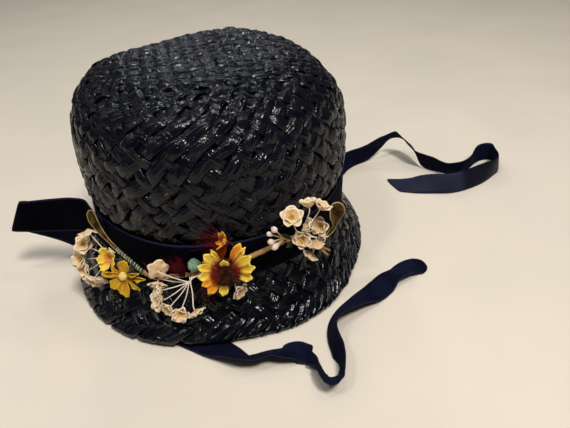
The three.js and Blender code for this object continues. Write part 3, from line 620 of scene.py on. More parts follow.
def tie_sections(inside, lying):
    """Middles, ways across and normals of a tie's sections, from inside the brim to its free end."""
    rows, tilts, aims = [], [], []
    for azimuth, height, tilt, clear in inside:
        inset = STRAW_WALL + SEAT_GAP + RIBBON_WALL + clear
        rows.append(straw_point(math.radians(azimuth), 1.0, flare_at(height) - inset, height, arched=False))
        tilts.append(tilt)
        aims.append(None)
    for x, y, tilt, lift, *aim in lying:
        turn = math.radians(tilt)
        edge_height = TIE_WIDTH / 2 * abs(math.sin(turn)) + RIBBON_WALL / 2 * abs(math.cos(turn))
        rows.append(np.array([x, y, SURFACE_GAP + lift + edge_height]))
        tilts.append(tilt)
        aims.append(aim[0] if aim else None)
    middles, ways = smooth_route(rows, TIE_STEPS)
    turn = np.radians(smooth_values(tilts, TIE_STEPS))[:, None]
    square = np.arctan2(ways[:, 0], -ways[:, 1])
    skews = []
    for aim, plain in zip(aims, np.degrees(square[::TIE_STEPS])):
        skews.append(0.0 if aim is None else (aim - plain + 180) % 360 - 180)
    askew = square + np.radians(smooth_values(skews, TIE_STEPS))
    left = np.stack([np.cos(askew), np.sin(askew), np.zeros(len(ways))], -1)
    across = left * np.cos(turn) + np.array([0, 0, 1.0]) * np.sin(turn)
    upright = np.clip(smooth_values([float(aim is None) for aim in aims], TIE_STEPS), 0, 1)[:, None]
    across = unit(across - ways * np.sum(across * ways, axis=1, keepdims=True) * upright)
    lowest = SURFACE_GAP + TIE_WIDTH / 2 * np.abs(across[:, 2]) + RIBBON_WALL / 2
    middles[:, 2] = np.maximum(middles[:, 2], lowest)
    return middles, across, unit(np.cross(ways, across))


def lay_tie(name, inside, lying, back, slant, rounding):
    """One chin tie, from where it is sewn in to its free end."""
    sections = tie_sections(inside, lying)
    made = ribbon(name + "_ribbon", sections, TIE_WIDTH, (lit_velvet, back), slant=slant, rounding=rounding)
    settle(made, "velvet", name)


lay_tie("front_tie", FRONT_TIE_INSIDE, FRONT_TIE_LYING, lit_velvet, 0.5, 6.0)
lay_tie("rear_tie", REAR_TIE_INSIDE, REAR_TIE_LYING, satin, 7.0, 1.0)

# %% [markdown]
# ## Side loop and band
# The loop is a wider ribbon that leaves the band, runs out to a slanted fold and comes back lower. The band
# is the same velvet in its darker copy, which is painted shade, closed into a ring round the foot of the
# crown. Both are cut from flat ribbon.

# %% Fold the side loop and stretch the band
LOOP_WIDTH = 26.0
SIDE_LOOP = np.array([
    (-63.9, -64.6, 48.5, 0), (-69.5, -58.3, 48.5, 0), (-75.5, -51, 48.5, 0.02), (-82, -43, 48.7, 0.06),
    (-92, -39.6, 48.7, 0.12), (-106, -39, 48.5, 0.24), (-120, -38.8, 48.2, 0.4), (-129.5, -38.4, 48, 0.54),
    (-132.3, -36.2, 47.2, 0.56), (-129, -34.2, 46, 0.54), (-118, -33.4, 41.4, 0.48),
    (-106, -33, 35.6, 0.42), (-97, -34, 30.8, 0.42), (-89.2, -38.4, 29.6, 0.44),
    (-84.4, -44.4, 30.6, 0.46)])
LOOP_STEPS = 5
BAND_BOTTOM, BAND_TOP = 35.0, 61.0
BAND_SIDES = 184
BAND_WIDTH = BAND_TOP - BAND_BOTTOM
BAND_CLEAR = 0.1
BAND_WAVES = ((0.12, 7, 0.6), (0.1, 17, 0.0))
BAND_RISES = ((0.35, 5, 1.0), (0.2, 11, 0.0))

loop_middles, loop_ways = smooth_route(SIDE_LOOP[:, :3], LOOP_STEPS)
loop_slant = smooth_values(SIDE_LOOP[:, 3], LOOP_STEPS)
loop_across = unit(np.stack([loop_slant, 0 * loop_slant, 1 + 0 * loop_slant], -1))
loop_normals = unit(np.cross(loop_ways, loop_across))
loop_sections = loop_middles, loop_across, loop_normals
# One face of the side loop takes the shaded copy of the velvet and the other the lighter copy: painted shade
# and painted light.
side_loop = ribbon("side_loop_ribbon", loop_sections, LOOP_WIDTH, (shaded_velvet, lit_velvet), velvet_out=False)
settle(side_loop, "velvet", "side_loop")

band_turn = np.linspace(0, 2 * math.pi, BAND_SIDES, endpoint=False)
band_rise = waves(band_turn, BAND_RISES)
band_offset = SEAT_GAP + RIBBON_WALL / 2 + BAND_CLEAR + waves(band_turn, BAND_WAVES)


def band_edge(height):
    """The line of one of the band's edges round the crown."""
    return straw_point(band_turn, 1.0, flare_at(height) + band_offset, np.full_like(band_turn, height))


band_low, band_high = band_edge(BAND_BOTTOM), band_edge(BAND_TOP)
band_middles = (band_low + band_high) / 2 + np.stack([0 * band_rise, 0 * band_rise, band_rise], -1)
band_x, band_y = np.cos(band_turn) / HALF_WIDTH, np.sin(band_turn) / HALF_LENGTH
band_sections = band_middles, unit(band_high - band_low), unit(np.stack([band_x, band_y, 0 * band_turn], -1))
# The band takes the shaded copy of the velvet: painted shade.
band_ribbon = ribbon("band_ribbon", band_sections, BAND_WIDTH, (shaded_velvet, satin), closed=True)
settle(band_ribbon, "velvet", "band")

# %% [markdown]
# ## Straw finish
# The straw is a flat, shiny strip, pressed from crumpled fibre and dyed almost black. Fine creases run
# along it and break the light into slivers, and the worn ones show a paler brown. Each strip's mesh
# carries how far across and along a point is, so the creases follow every strip instead of lying across
# them.

# %% Make the crease group and the two straw finishes
STRIP_SEED = 13.7
WEAR_SOFTNESS = 0.12
CREASE_DEPTH = 0.0014
crease_group, given, end = new_tree(
    "Strip creases", "Shader", ("Height", "Tone", "Worn"),
    Creases=4.0, Stretch=200.0, Crumple=400.0, Wear=0.62)
tree = crease_group
crease_at = vector_of(
    tree, named(tree, "across") * given["Creases"], named(tree, "along") * given["Stretch"],
    named(tree, "strip") * STRIP_SEED)
crease_noise = noise_at(crease_at, 0.55, 0.0)
crumple_noise = noise_at(put(tree, "ShaderNodeTexCoord")["Object"], given["Crumple"], 0.0)
crease_tone = noise_at(crease_at, 0.3)
feed(end["Height"], creased(crease_noise) * 0.6 + creased(crumple_noise) * 0.28)
feed(end["Tone"], ramp(crease_tone, 0.32, 0.68))
worn_edge = crease_noise * ramp(crease_tone, 0.45, 0.75)
feed(end["Worn"], put(tree, "ShaderNodeMapRange", {
    "Value": worn_edge, "From Min": given["Wear"], "From Max": given["Wear"] + WEAR_SOFTNESS}))


def straw_finish(name, deep, dyed, worn, roughness, spread, wear, shine):
    """A dyed straw: deep and dyed tones along the strip, worn slivers, and gloss between two values."""
    material, tree, shader = new_finish(name, deep, roughness, Specular_IOR_Level=shine)
    crease = use_group(tree, crease_group, Wear=wear)
    feed(shader["Base Color"], blend(crease["Worn"], blend(crease["Tone"], deep, dyed), worn))
    feed(shader["Roughness"], crease["Tone"] * spread + roughness)
    bump_from(shader, crease["Height"], 1.0, CREASE_DEPTH)
    return material


crown_straw = straw_finish(
    "crown straw", (0.0016, 0.0024, 0.0065), (0.006, 0.0065, 0.0095), (0.105, 0.083, 0.058),
    roughness=0.13, spread=0.1, wear=0.62, shine=0.22)
brim_straw = straw_finish(
    "brim straw", (0.001, 0.0016, 0.0045), (0.004, 0.0045, 0.007), (0.06, 0.048, 0.036),
    roughness=0.13, spread=0.08, wear=0.64, shine=0.31)
print("straw finishes:", crown_straw.name, "and", brim_straw.name)

# %% [markdown]
# ## The plait
# A plaited hat has two sets of strips, one winding to the right and one to the left, that pass over and
# under each other. A texture of squares would be flat, so each strip is a real thin band with its own
# creases. Geometry Nodes sweep one flat section along every strip. The strips' paths are lines with a
# facing and a half width at each point, worked out on the straw's surface: a strip that keeps to 45
# degrees turns by the distance it goes down divided by the radius there.

# %% Add the steps that the geometry trees share


def end_tree(geometry, finish, end):
    """Shades smooth, makes instances real, sets the material and ends the tree."""
    smooth = put(geometry.tree, "GeometryNodeSetShadeSmooth", {"Geometry": geometry})
    real = put(geometry.tree, "GeometryNodeRealizeInstances", {"Geometry": smooth})
    feed(end[0], put(geometry.tree, "GeometryNodeSetMaterial", {"Geometry": real, "Material": finish}))


def carried(tree, name, kind="FLOAT"):
    """A value stored on the geometry, in a geometry tree."""
    return put(tree, "GeometryNodeInputNamedAttribute", {"Name": name}, data_type=kind)


def faced(tree):
    """The way that each point of the geometry faces."""
    return carried(tree, "facing", "FLOAT_VECTOR")


def stored(geometry, name, value):
    """Geometry with a value stored on its points."""
    feeds = {"Geometry": geometry, "Name": name, "Value": value}
    return put(geometry.tree, "GeometryNodeStoreNamedAttribute", feeds, data_type="FLOAT", domain="POINT")


def placed(geometry, **where):
    """Geometry with its points put at a Position or moved by an Offset."""
    return put(geometry.tree, "GeometryNodeSetPosition", {"Geometry": geometry, **where})


def moved_along(geometry, direction, amount):
    """Geometry with its points moved along a direction by an amount."""
    offset = put(geometry.tree, "ShaderNodeVectorMath", {0: direction, "Scale": amount}, operation="SCALE")
    return placed(geometry, Offset=offset)


def centred(noise, depth):
    """A noise value turned into plus or minus a depth."""
    return (noise - 0.5) * (depth * 2.0)


def swept(route, section):
    """A section swept along a curve, in the size that the curve carries."""
    return put(route.tree, "GeometryNodeCurveToMesh", {
        "Curve": route, "Profile Curve": section, "Scale": carried(route.tree, "reach"), "Fill Caps": True})


print("geometry helpers ready")

# %% Build the strip sweeping tree
CREASES_ALONG = 70.0
CRUMPLE_SCALE = 260.0
strip_tree, given, end = new_tree(
    "Plaited strip", "Geometry", (), Sides=22, Thickness_Share=0.045, Creases=3.0, Crease_Depth=0.0007,
    Crumple_Depth=0.0005, Arch=0.001, Straw=None)
tree = strip_tree
section = put(tree, "GeometryNodeCurvePrimitiveCircle", {"Resolution": given["Sides"]}, mode="RADIUS")
from_half = put(tree, "GeometryNodeInputIndex") / given["Sides"] - 0.5
across = 1.0 - maths("ABSOLUTE", from_half) * 4.0
face = maths("SIGN", from_half * -1.0) * maths("SQRT", 1.0001 - across * across)
section = stored(section, "across", across)
across = carried(tree, "across")
section = placed(section, Position=vector_of(tree, face * given["Thickness Share"], across, 0.0))
route = put(tree, "GeometryNodeMeshToCurve", {"Mesh": given["Geometry"]})
route = put(tree, "GeometryNodeSetCurveNormal", {"Curve": route, "Normal": faced(tree)}, mode="FREE")
crease_at = vector_of(
    tree, across * given["Creases"], carried(tree, "along") * CREASES_ALONG,
    carried(tree, "strip") * STRIP_SEED)
crease = (creased(noise_at(crease_at, 1.0, 1.0)) * 4.0 - 0.5) * given["Crease Depth"]
crumple = centred(noise_at(put(tree, "GeometryNodeInputPosition"), CRUMPLE_SCALE), given["Crumple Depth"])
bow = across ** 2.0 * given["Arch"]
end_tree(moved_along(swept(route, section), faced(tree), crease + crumple - bow), given["Straw"], end)
print("strip tree has", len(tree.nodes), "nodes")

# %% Turn lines into finished strips


def carrying_mesh(name, places, edges, facings, **values):
    """A mesh of points and edges, in millimetres, that carries a facing and named values for each point."""
    mesh = bpy.data.meshes.new(name)
    mesh.from_pydata(in_frame(places).tolist(), edges, [])
    facings = np.asarray(facings, np.float32)
    mesh.attributes.new("facing", "FLOAT_VECTOR", "POINT").data.foreach_set("vector", facings.ravel())
    for label, numbers in values.items():
        carry(mesh, label, numbers)
    return mesh


def line_mesh(name, lines):
    """A mesh of loose lines, each with places, facings, half widths and its own number, in millimetres."""
    edges, first = [], 0
    for line in lines:
        edges += [(step, step + 1) for step in range(first, first + len(line["at"]) - 1)]
        first += len(line["at"])
    at, facing, reach = (np.concatenate([line[key] for line in lines]) for key in ("at", "facing", "reach"))
    along = np.concatenate([lengths_along(line["at"]) for line in lines])
    strip = np.concatenate([np.full(len(line["at"]), line["number"]) for line in lines])
    return carrying_mesh(name, at, edges, facing, reach=reach * MM, along=along * MM, strip=strip)


def kept_plain(piece):
    """Keeps what a piece's modifiers make as a plain mesh, with no modifier left."""
    graph = bpy.context.evaluated_depsgraph_get()
    shown = piece.evaluated_get(graph)
    result = bpy.data.meshes.new_from_object(shown, preserve_all_data_layers=True, depsgraph=graph)
    piece.modifiers.clear()
    piece.data = result
    return piece


def grown(name, mesh, tree, **inputs):
    """A piece that a geometry tree makes from a mesh."""
    made = bpy.data.objects.new(name, mesh)
    modifier = made.modifiers.new("grow", "NODES")
    modifier.node_group = tree
    for item in tree.interface.items_tree:
        key = item.name.replace(" ", "_")
        if item.in_out == "INPUT" and key in inputs:
            modifier[item.identifier] = inputs[key]
    bpy.context.scene.collection.objects.link(made)
    return kept_plain(made)


print("line helpers ready")

# %% Wind the strips of the crown and the brim
STRIPS = 44
STRIP_ANGLE = 2 * math.pi / STRIPS
PLAIT_LIFT = 0.7
PLAIT_DEPTH = 1.05
STRIP_FILL = 0.505
FAVOUR_LIFT = 0.4
STRIP_START_SHARE = 0.6
CUT_HEIGHT = 42.0
RIM_STOP = 6.0
STRIP_STEP = 1.5
STRIP_SWAY, STRIP_BOB, STRIP_LEAN, STRIP_RIPPLE = 0.13, 0.15, 0.2, 0.07
NARROW_CHANCE, NARROW_WIDTH = 0.12, 0.75
TUCK_DEPTH, TUCK_RUN = 0.9, 6
FRONT_AZIMUTH, FRONT_RUN = math.radians(272), 95
chance = np.random.default_rng(8)

mean_radius = np.maximum(profile_radius, 1.0)
twist_steps = np.diff(PROFILE_RUN) * 2 / (mean_radius[1:] + mean_radius[:-1])
PROFILE_TWIST = np.concatenate([[0.0], np.cumsum(twist_steps)])
first_run = np.interp(STRIP_START_SHARE, PROFILE_SHARE[:SHOULDER_STEPS], PROFILE_RUN[:SHOULDER_STEPS])
strip_runs = np.arange(first_run, RIM_RUN - RIM_STOP, STRIP_STEP)
cut_step = int(np.argmax(np.interp(strip_runs, PROFILE_RUN, PROFILE_HEIGHT) < CUT_HEIGHT))


def wander(count, waves, size):
    """A slow random drift of about the given size."""
    share = np.linspace(0, 1, count)
    drift = np.zeros(count)
    for wave in range(1, waves + 1):
        drift += chance.normal(0, 1) * np.sin(2 * math.pi * wave * share + chance.uniform(0, 6.28))
    return size * drift / math.sqrt(waves)


def over_under(phase):
    """A smooth wave that stays long at the top and at the bottom."""
    return np.tanh(2.2 * np.cos(phase)) / math.tanh(2.2)


def favour(turn, run):
    """Where the right-hand strips lie higher, above 0, or the left-hand ones, below 0, as at the front."""
    drift = 0.5 * np.sin(3 * turn + 1.0 + run / 40) + 0.45 * np.sin(5 * turn - run / 26 + 2.0)
    drift += 0.35 * np.sin(8 * turn + run / 17)
    front = np.exp(-((1 - np.cos(turn - FRONT_AZIMUTH)) / 0.22) - ((run - FRONT_RUN) / 34) ** 2)
    return drift - 1.1 * front


def wound_strip(number, hand):
    """One strip from the top's edge to the rim, winding to one hand."""
    count = len(strip_runs)
    twist = np.interp(strip_runs, PROFILE_RUN, PROFILE_TWIST)
    radius = np.interp(strip_runs, PROFILE_RUN, mean_radius)
    turn = number * STRIP_ANGLE + hand * twist + wander(count, 6, STRIP_SWAY) * STRIP_ANGLE
    plait = PLAIT_LIFT * over_under(STRIPS * twist) + FAVOUR_LIFT * favour(turn, strip_runs)
    lift = hand * plait - PLAIT_DEPTH
    lift -= TUCK_DEPTH * np.clip(1 - (strip_runs - first_run) / TUCK_RUN, 0, 1)
    out, _ = straw_facing(turn, strip_runs)
    at = straw_at(turn, strip_runs) + out * (lift + wander(count, 5, STRIP_BOB))[:, None]
    side = np.cross(unit(np.gradient(at, axis=0)), out)
    lean = wander(count, 9, STRIP_LEAN)[:, None]
    width = chance.uniform(0.92, 1.08) * (NARROW_WIDTH if chance.uniform() < NARROW_CHANCE else 1.0)
    half = STRIP_FILL * radius * STRIP_ANGLE * math.sqrt(0.5) * width * (1 + wander(count, 8, STRIP_RIPPLE))
    return {"at": at, "facing": unit(out + side * lean), "reach": half, "number": number + 50 * (hand > 0)}


def part_of(line, low, high):
    """A stretch of a line."""
    return {key: value[low:high] if key != "number" else value for key, value in line.items()}


def lay_strips(name, lines, finish, node, **shape):
    """One piece of straw strips along lines, which stands for a node."""
    settle(grown(name, line_mesh(name, lines), strip_tree, Straw=finish, **shape), "straw", node)


right_hand = [wound_strip(number, 1) for number in range(STRIPS)]
left_hand = [wound_strip(number, -1) for number in range(STRIPS)]
for name, lines in (("crown_plait_right", right_hand), ("crown_plait_left", left_hand)):
    lay_strips(name, [part_of(line, 0, cut_step + 1) for line in lines], crown_straw, "crown")
lower = [part_of(line, cut_step, None) for line in right_hand + left_hand]
lay_strips("brim_plait", lower, brim_straw, "brim")

# %% [markdown]
# ## The top of the crown
# The strips can't all run into one point, so the top is a flat plait of its own, started as a square mat.
# The same strips cross at right angles there, and their ends tuck under the wound ones.

# %% Plait the top
TOP_SPACING = 8.4
TOP_STRIPS = 15
TOP_MIDDLE = (TOP_STRIPS - 1) / 2
TOP_TURN = math.radians(14)
TOP_EDGE = 0.7 * MEAN_HALF
TOP_MARGIN = 6
TOP_RISE, TOP_RISE_FROM, TOP_RISE_OVER = 0.5, 0.5, 0.08
TOP_TUCK, TOP_TUCK_FROM, TOP_TUCK_OVER = 2.2, 0.63, 0.07
TOP_STEP = 1.8
TOP_SWAY, TOP_BOB, TOP_RIPPLE = 0.5, 0.12, 0.05


def top_strip(number, hand):
    """One strip of the square mat on top of the crown."""
    offset = (number - TOP_MIDDLE) * TOP_SPACING
    half_run = math.sqrt(TOP_EDGE ** 2 - offset ** 2) + chance.uniform(-2, 1)
    along = np.arange(-half_run, half_run, TOP_STEP)
    count = len(along)
    aside = offset + wander(count, 5, TOP_SWAY)
    turn = TOP_TURN + (math.pi / 2 if hand > 0 else 0)
    x = along * math.cos(turn) - aside * math.sin(turn)
    y = along * math.sin(turn) + aside * math.cos(turn)
    azimuth = np.arctan2(y, x)
    share = np.clip(np.hypot(x, y) / ellipse_radius(azimuth, BULGE), 0.002, 0.95)
    run = np.interp(share, PROFILE_SHARE[:SHOULDER_STEPS], PROFILE_RUN[:SHOULDER_STEPS])
    cross = (along if hand < 0 else -along) / TOP_SPACING + TOP_MIDDLE
    lift = hand * PLAIT_LIFT * over_under(math.pi * (cross + number)) - PLAIT_DEPTH
    lift += TOP_RISE * np.clip((share - TOP_RISE_FROM) / TOP_RISE_OVER, 0, 1)
    lift -= TOP_TUCK * np.clip((share - TOP_TUCK_FROM) / TOP_TUCK_OVER, 0, 1)
    out, _ = straw_facing(azimuth, run)
    at = straw_at(azimuth, run) + out * (lift + wander(count, 4, TOP_BOB))[:, None]
    ahead = unit(np.gradient(at, axis=0))
    facing = unit(out - ahead * np.sum(out * ahead, axis=1, keepdims=True))
    half = 0.5 * TOP_SPACING * chance.uniform(0.9, 1.04) * (1 + wander(count, 5, TOP_RIPPLE))
    return {"at": at, "facing": facing, "reach": half, "number": 200 + number + 40 * (hand > 0)}


top_reach = (TOP_EDGE - TOP_MARGIN) / TOP_SPACING
top_numbers = [number for number in range(TOP_STRIPS) if abs(number - TOP_MIDDLE) <= top_reach]
top_lines = [top_strip(number, hand) for hand in (1, -1) for number in top_numbers]
lay_strips("crown_top_plait", top_lines, crown_straw, "crown")

# %% [markdown]
# ## The rim
# At the rim every strip is folded round the edge and tucked back inside, which makes a thick, slightly
# scalloped edge. Each fold is a short strip that runs down the outside, round the edge and up the inside.

# %% Fold the strips round the rim
FOLDS = 118
FOLD_ANGLE = 2 * math.pi / FOLDS
FOLD_RUN = 9.0
FOLD_RADIUS = 1.25
FOLD_DEPTH = 1.2
FOLD_STEPS = 6
FOLD_SLANT = math.radians(42)
FOLD_FILL = 0.74
FOLD_CLEAR = 2.5
FOLD_TAPER, FOLD_TUCK = 2.5, 1.2
FOLD_SHAPE = {
    "Sides": 16, "Thickness_Share": 0.2, "Creases": 2.0, "Crease_Depth": 0.0003, "Crumple_Depth": 0.0003}


def folded_strip(number):
    """One slanted fold of a strip round the rim."""
    centre_run = RIM_RUN - FOLD_RADIUS - FOLD_CLEAR
    radius = mean_radius[-1]
    length = FOLD_RUN * chance.uniform(0.75, 1.15)
    run_out = np.linspace(centre_run - length, centre_run, FOLD_STEPS)
    bend = np.linspace(0, math.pi, FOLD_STEPS + 2)[1:-1]
    runs = np.concatenate([run_out, np.full(len(bend), centre_run), run_out[::-1]])
    angle = np.concatenate([np.zeros(FOLD_STEPS), bend, np.full(FOLD_STEPS, math.pi)])
    passed = lengths_along(np.stack([runs - FOLD_RADIUS * np.sin(angle), FOLD_RADIUS * np.cos(angle)], -1))
    slant = math.tan(FOLD_SLANT + chance.normal(0, 0.12))
    turn = (number + chance.uniform(-0.2, 0.2)) * FOLD_ANGLE - slant * passed / radius
    out, down = straw_facing(turn, runs)
    facing = out * np.cos(angle)[:, None] + down * np.sin(angle)[:, None]
    taper = np.clip((np.abs(runs - centre_run) - length + FOLD_TAPER) / FOLD_TAPER, 0, 1)
    bulge = FOLD_RADIUS + chance.uniform(-0.1, 0.2) - FOLD_TUCK * taper
    at = straw_at(turn, runs) - out * FOLD_DEPTH + facing * bulge[:, None]
    half = FOLD_FILL * radius * FOLD_ANGLE * math.cos(FOLD_SLANT) * chance.uniform(0.85, 1.1)
    return {"at": at, "facing": facing, "reach": np.full(len(at), half), "number": 300 + number}


folds = [folded_strip(number) for number in range(FOLDS)]
lay_strips("rim_folds", folds, brim_straw, "brim", **FOLD_SHAPE)

# %% [markdown]
# ## Cloth for the flowers
# The flowers are cut from stiffened cotton and tinted by hand: deeper at a petal's foot and paler along its
# edge, with the weave still showing. The pale edge is partly that tint and partly a painted highlight where
# the cupped edges catch the light. One group gives the weave, a mottle, the veins pressed along a petal and
# the way from foot to edge. Each cloth places it with its own colours, and a petal's mesh carries how far out
# a point is.

# %% Make the cloth group and the cloths
CLOTH_ROUGHNESS = 0.72
CLOTH_DEPTH = 0.0003
CLOTH_VEINS = 15.0
VEIN_TONE, MOTTLE_TONE = 0.22, 0.45
cloth_group, given, end = new_tree(
    "Tinted cloth", "Shader", ("Height", "Mottle", "Out", "Rim_Tint_And_Highlight", "Vein"), Weave=5200.0, Foot=0.25, Edge=0.8)
cloth_at = put(cloth_group, "ShaderNodeTexCoord")["Object"]
cloth_split = put(cloth_group, "ShaderNodeSeparateXYZ", {0: cloth_at})
threads = [maths("SINE", cloth_split[axis] * given["Weave"]) for axis in range(3)]
vein_wave = maths("SINE", named(cloth_group, "side") * CLOTH_VEINS)
cloth_reach = named(cloth_group, "out")
feed(end["Height"], threads[0] + (threads[1] + threads[2]) + vein_wave * 1.5)
feed(end["Mottle"], ramp(noise_at(cloth_at, 260.0, 3.0), 0.3, 0.7))
feed(end["Out"], ramp(cloth_reach, given["Foot"], given["Edge"]))
# A pale rim along the petal's edge: partly tint and partly a painted highlight.
feed(end["Rim_Tint_And_Highlight"], ramp(cloth_reach, 0.78, 0.98))
feed(end["Vein"], ramp(vein_wave, 0.3, 1.0))


def cloth(name, foot, middle, edge, foot_at, edge_at):
    """Tinted cloth: one colour at a petal's foot, a second over it, and a paler third along its edge, which
    is partly tint and partly a painted highlight.
    """
    material, tree, shader = new_finish(
        name, middle, CLOTH_ROUGHNESS, Specular_IOR_Level=0.2, Sheen_Weight=0.08, Sheen_Roughness=0.5)
    woven = use_group(tree, cloth_group, Foot=foot_at, Edge=edge_at)
    veined = blend(woven["Vein"] * VEIN_TONE, blend(woven["Out"], foot, middle), foot)
    pale = maths("MAXIMUM", woven["Rim_Tint_And_Highlight"], woven["Mottle"] * MOTTLE_TONE)
    # The pale edge colour is partly tint and partly a painted highlight where cupped edges catch the light.
    feed(shader["Base Color"], blend(pale, veined, edge))
    feed(shader["Roughness"], woven["Mottle"] * 0.15 + (CLOTH_ROUGHNESS - 0.1))
    bump_from(shader, woven["Height"], 0.12, CLOTH_DEPTH)
    return material


# Each cloth's third colour, its edge, is partly tint and partly a painted highlight.
cream_cloth = cloth("cream cloth", (0.5, 0.24, 0.06), (0.66, 0.41, 0.2), (0.9, 0.76, 0.54), 0.12, 0.5)
blush_cloth = cloth("blush cloth", (0.5, 0.25, 0.15), (0.62, 0.4, 0.28), (0.88, 0.7, 0.55), 0.1, 0.6)
yellow_cloth = cloth("yellow cloth", (0.5, 0.075, 0.008), (0.8, 0.52, 0.04), (0.9, 0.7, 0.12), 0.3, 0.62)
rust_cloth = cloth(
    "orange yellow cloth", (0.42, 0.04, 0.008), (0.76, 0.25, 0.014), (0.86, 0.44, 0.03), 0.25, 0.8)
lemon_cloth = cloth("lemon cloth", (0.34, 0.12, 0.004), (0.48, 0.25, 0.006), (0.63, 0.39, 0.018), 0.1, 0.6)
orange_cloth = cloth("orange cloth", (0.3, 0.02, 0.006), (0.7, 0.2, 0.012), (0.82, 0.44, 0.03), 0.2, 0.7)
green_cloth = cloth("pale green cloth", (0.07, 0.14, 0.08), (0.12, 0.24, 0.15), (0.3, 0.42, 0.29), 0.05, 0.7)
dark_green_cloth = cloth(
    "dark green cloth", (0.012, 0.02, 0.01), (0.02, 0.05, 0.028), (0.05, 0.09, 0.05), 0.1, 0.8)
stamen_cloth = cloth("golden heart", (0.42, 0.2, 0.012), (0.58, 0.36, 0.03), (0.66, 0.46, 0.06), 0.05, 0.6)
stalk_white = cloth(
    "waxed white thread", (0.84, 0.72, 0.58), (0.86, 0.76, 0.63), (0.92, 0.84, 0.72), 0.05, 0.5)
print("cloths made:", sum("cloth" in finish.name for finish in bpy.data.materials))

# %% [markdown]
# ## Flower heads
# A head is one petal repeated round a ring, and that is a job for Geometry Nodes: a small grid is bent
# into a petal, instanced round a ring, and the ring is instanced on points that carry the way each flower
# faces, its radius, its turn and its girth. A ring of one petal lets every petal of a large flower have
# its own place.

# %% Build the flower head tree
PETAL_GRID = {"Size X": 2.0, "Size Y": 1.0, "Vertices X": 9, "Vertices Y": 9}
PETAL_RUFFLES = 7.5
PETAL_CRUMPLES = 420.0
head_tree, given, end = new_tree(
    "Flower head", "Geometry", (), Petals=5, Half_Width=0.5, Foot_Width=0.3, Bluntness=0.3, Teeth=0.0,
    Tooth_Depth=0.0, Inner=0.05, Cup=0.3, Trough=0.1, Ruffle=0.08, Crumple=0.0003, Scatter=0.12, Seed=1,
    Cloth=None)
tree = head_tree
grid = put(tree, "GeometryNodeMeshGrid", PETAL_GRID)
grid_at = put(tree, "ShaderNodeSeparateXYZ", {0: put(tree, "GeometryNodeInputPosition")})
grid = stored(stored(grid, "side", grid_at[0]), "out", grid_at[1] + 0.5)
side, out = carried(tree, "side"), carried(tree, "out")
full = put(tree, "ShaderNodeMapRange", {"Value": out, "From Max": 0.75, "To Min": given["Foot Width"]},
           interpolation_type="SMOOTHSTEP")
tooth = maths("COSINE", side * given["Teeth"] * math.pi) * given["Tooth Depth"] * ramp(out, 0.7, 1.0)
reach_out = out * (1.0 - side * side * given["Bluntness"] * out) + tooth
petal_y = given["Inner"] + reach_out * (1.0 - given["Inner"])
bowl = petal_y ** 1.5 * given["Cup"]
trough = side * side * out * given["Trough"]
ruffle = maths("SINE", side * PETAL_RUFFLES) * given["Ruffle"] * out ** 2.0
petal_at = vector_of(tree, side * given["Half Width"] * full, petal_y, bowl + (trough + ruffle))
petal = placed(grid, Position=petal_at)


def scattered(given, number):
    """A random number for each petal, between minus and plus the scatter, from a seed of its own."""
    feeds = {2: given["Scatter"] * -1.0, 3: given["Scatter"], "Seed": given["Seed"] + number}
    return put(given.tree, "FunctionNodeRandomValue", feeds, data_type="FLOAT")[1]


def turned_by(tree, x, y, z):
    """A rotation from three angles."""
    return put(tree, "FunctionNodeEulerToRotation", {0: vector_of(tree, x, y, z)})


def set_on(points, instance, rotation, **scale):
    """An instance set on every point, turned, and in its own size."""
    feeds = {"Points": points, "Instance": instance, "Rotation": rotation, **scale}
    return put(points.tree, "GeometryNodeInstanceOnPoints", feeds)


def on_heads(mesh, instance):
    """Sets a flower on points: turned, faced, and sized by what the points carry, and made real."""
    tree = mesh.tree
    spun = turned_by(tree, 0.0, 0.0, carried(tree, "turn"))
    feeds = {"Rotation": spun, "Vector": faced(tree)}
    aimed = put(tree, "FunctionNodeAlignRotationToVector", feeds, axis="Z")
    size = carried(tree, "reach")
    scale = vector_of(tree, size * carried(tree, "girth"), size, size)
    heads = set_on(put(tree, "GeometryNodeMeshToPoints", {0: mesh}), instance, aimed, Scale=scale)
    return put(tree, "GeometryNodeRealizeInstances", {"Geometry": heads})


def crumpled(geometry, scale, depth):
    """Geometry with its surface moved in and out by soft noise."""
    amount = centred(noise_at(put(geometry.tree, "GeometryNodeInputPosition"), scale, 1.0), depth)
    return moved_along(geometry, put(geometry.tree, "GeometryNodeInputNormal"), amount)


step = 2 * math.pi / given["Petals"]
petal_turn = put(tree, "GeometryNodeInputIndex") * step + scattered(given, 0.0) * step
petal_rotation = turned_by(tree, scattered(given, 1.0), scattered(given, 2.0), petal_turn)
petal_size = vector_of(tree, 1.0, scattered(given, 3.0) + 1.0, 1.0)
ring_points = put(tree, "GeometryNodePoints", {"Count": given["Petals"]})
ring = set_on(ring_points, petal, petal_rotation, Scale=petal_size)
heads = on_heads(given["Geometry"], ring)
end_tree(crumpled(heads, PETAL_CRUMPLES, given["Crumple"]), given["Cloth"], end)
print("flower head tree has", len(tree.nodes), "nodes")

# %% [markdown]
# The small cream blossoms are pressed in one piece: a round of cloth with a lobed, ruffled edge, pushed
# into a cup. Their tree bends a grid round into a disc, and presses each disc by its own depth after it
# is in place, because some blossoms are open, some are deep bells and one has its edge turned back.

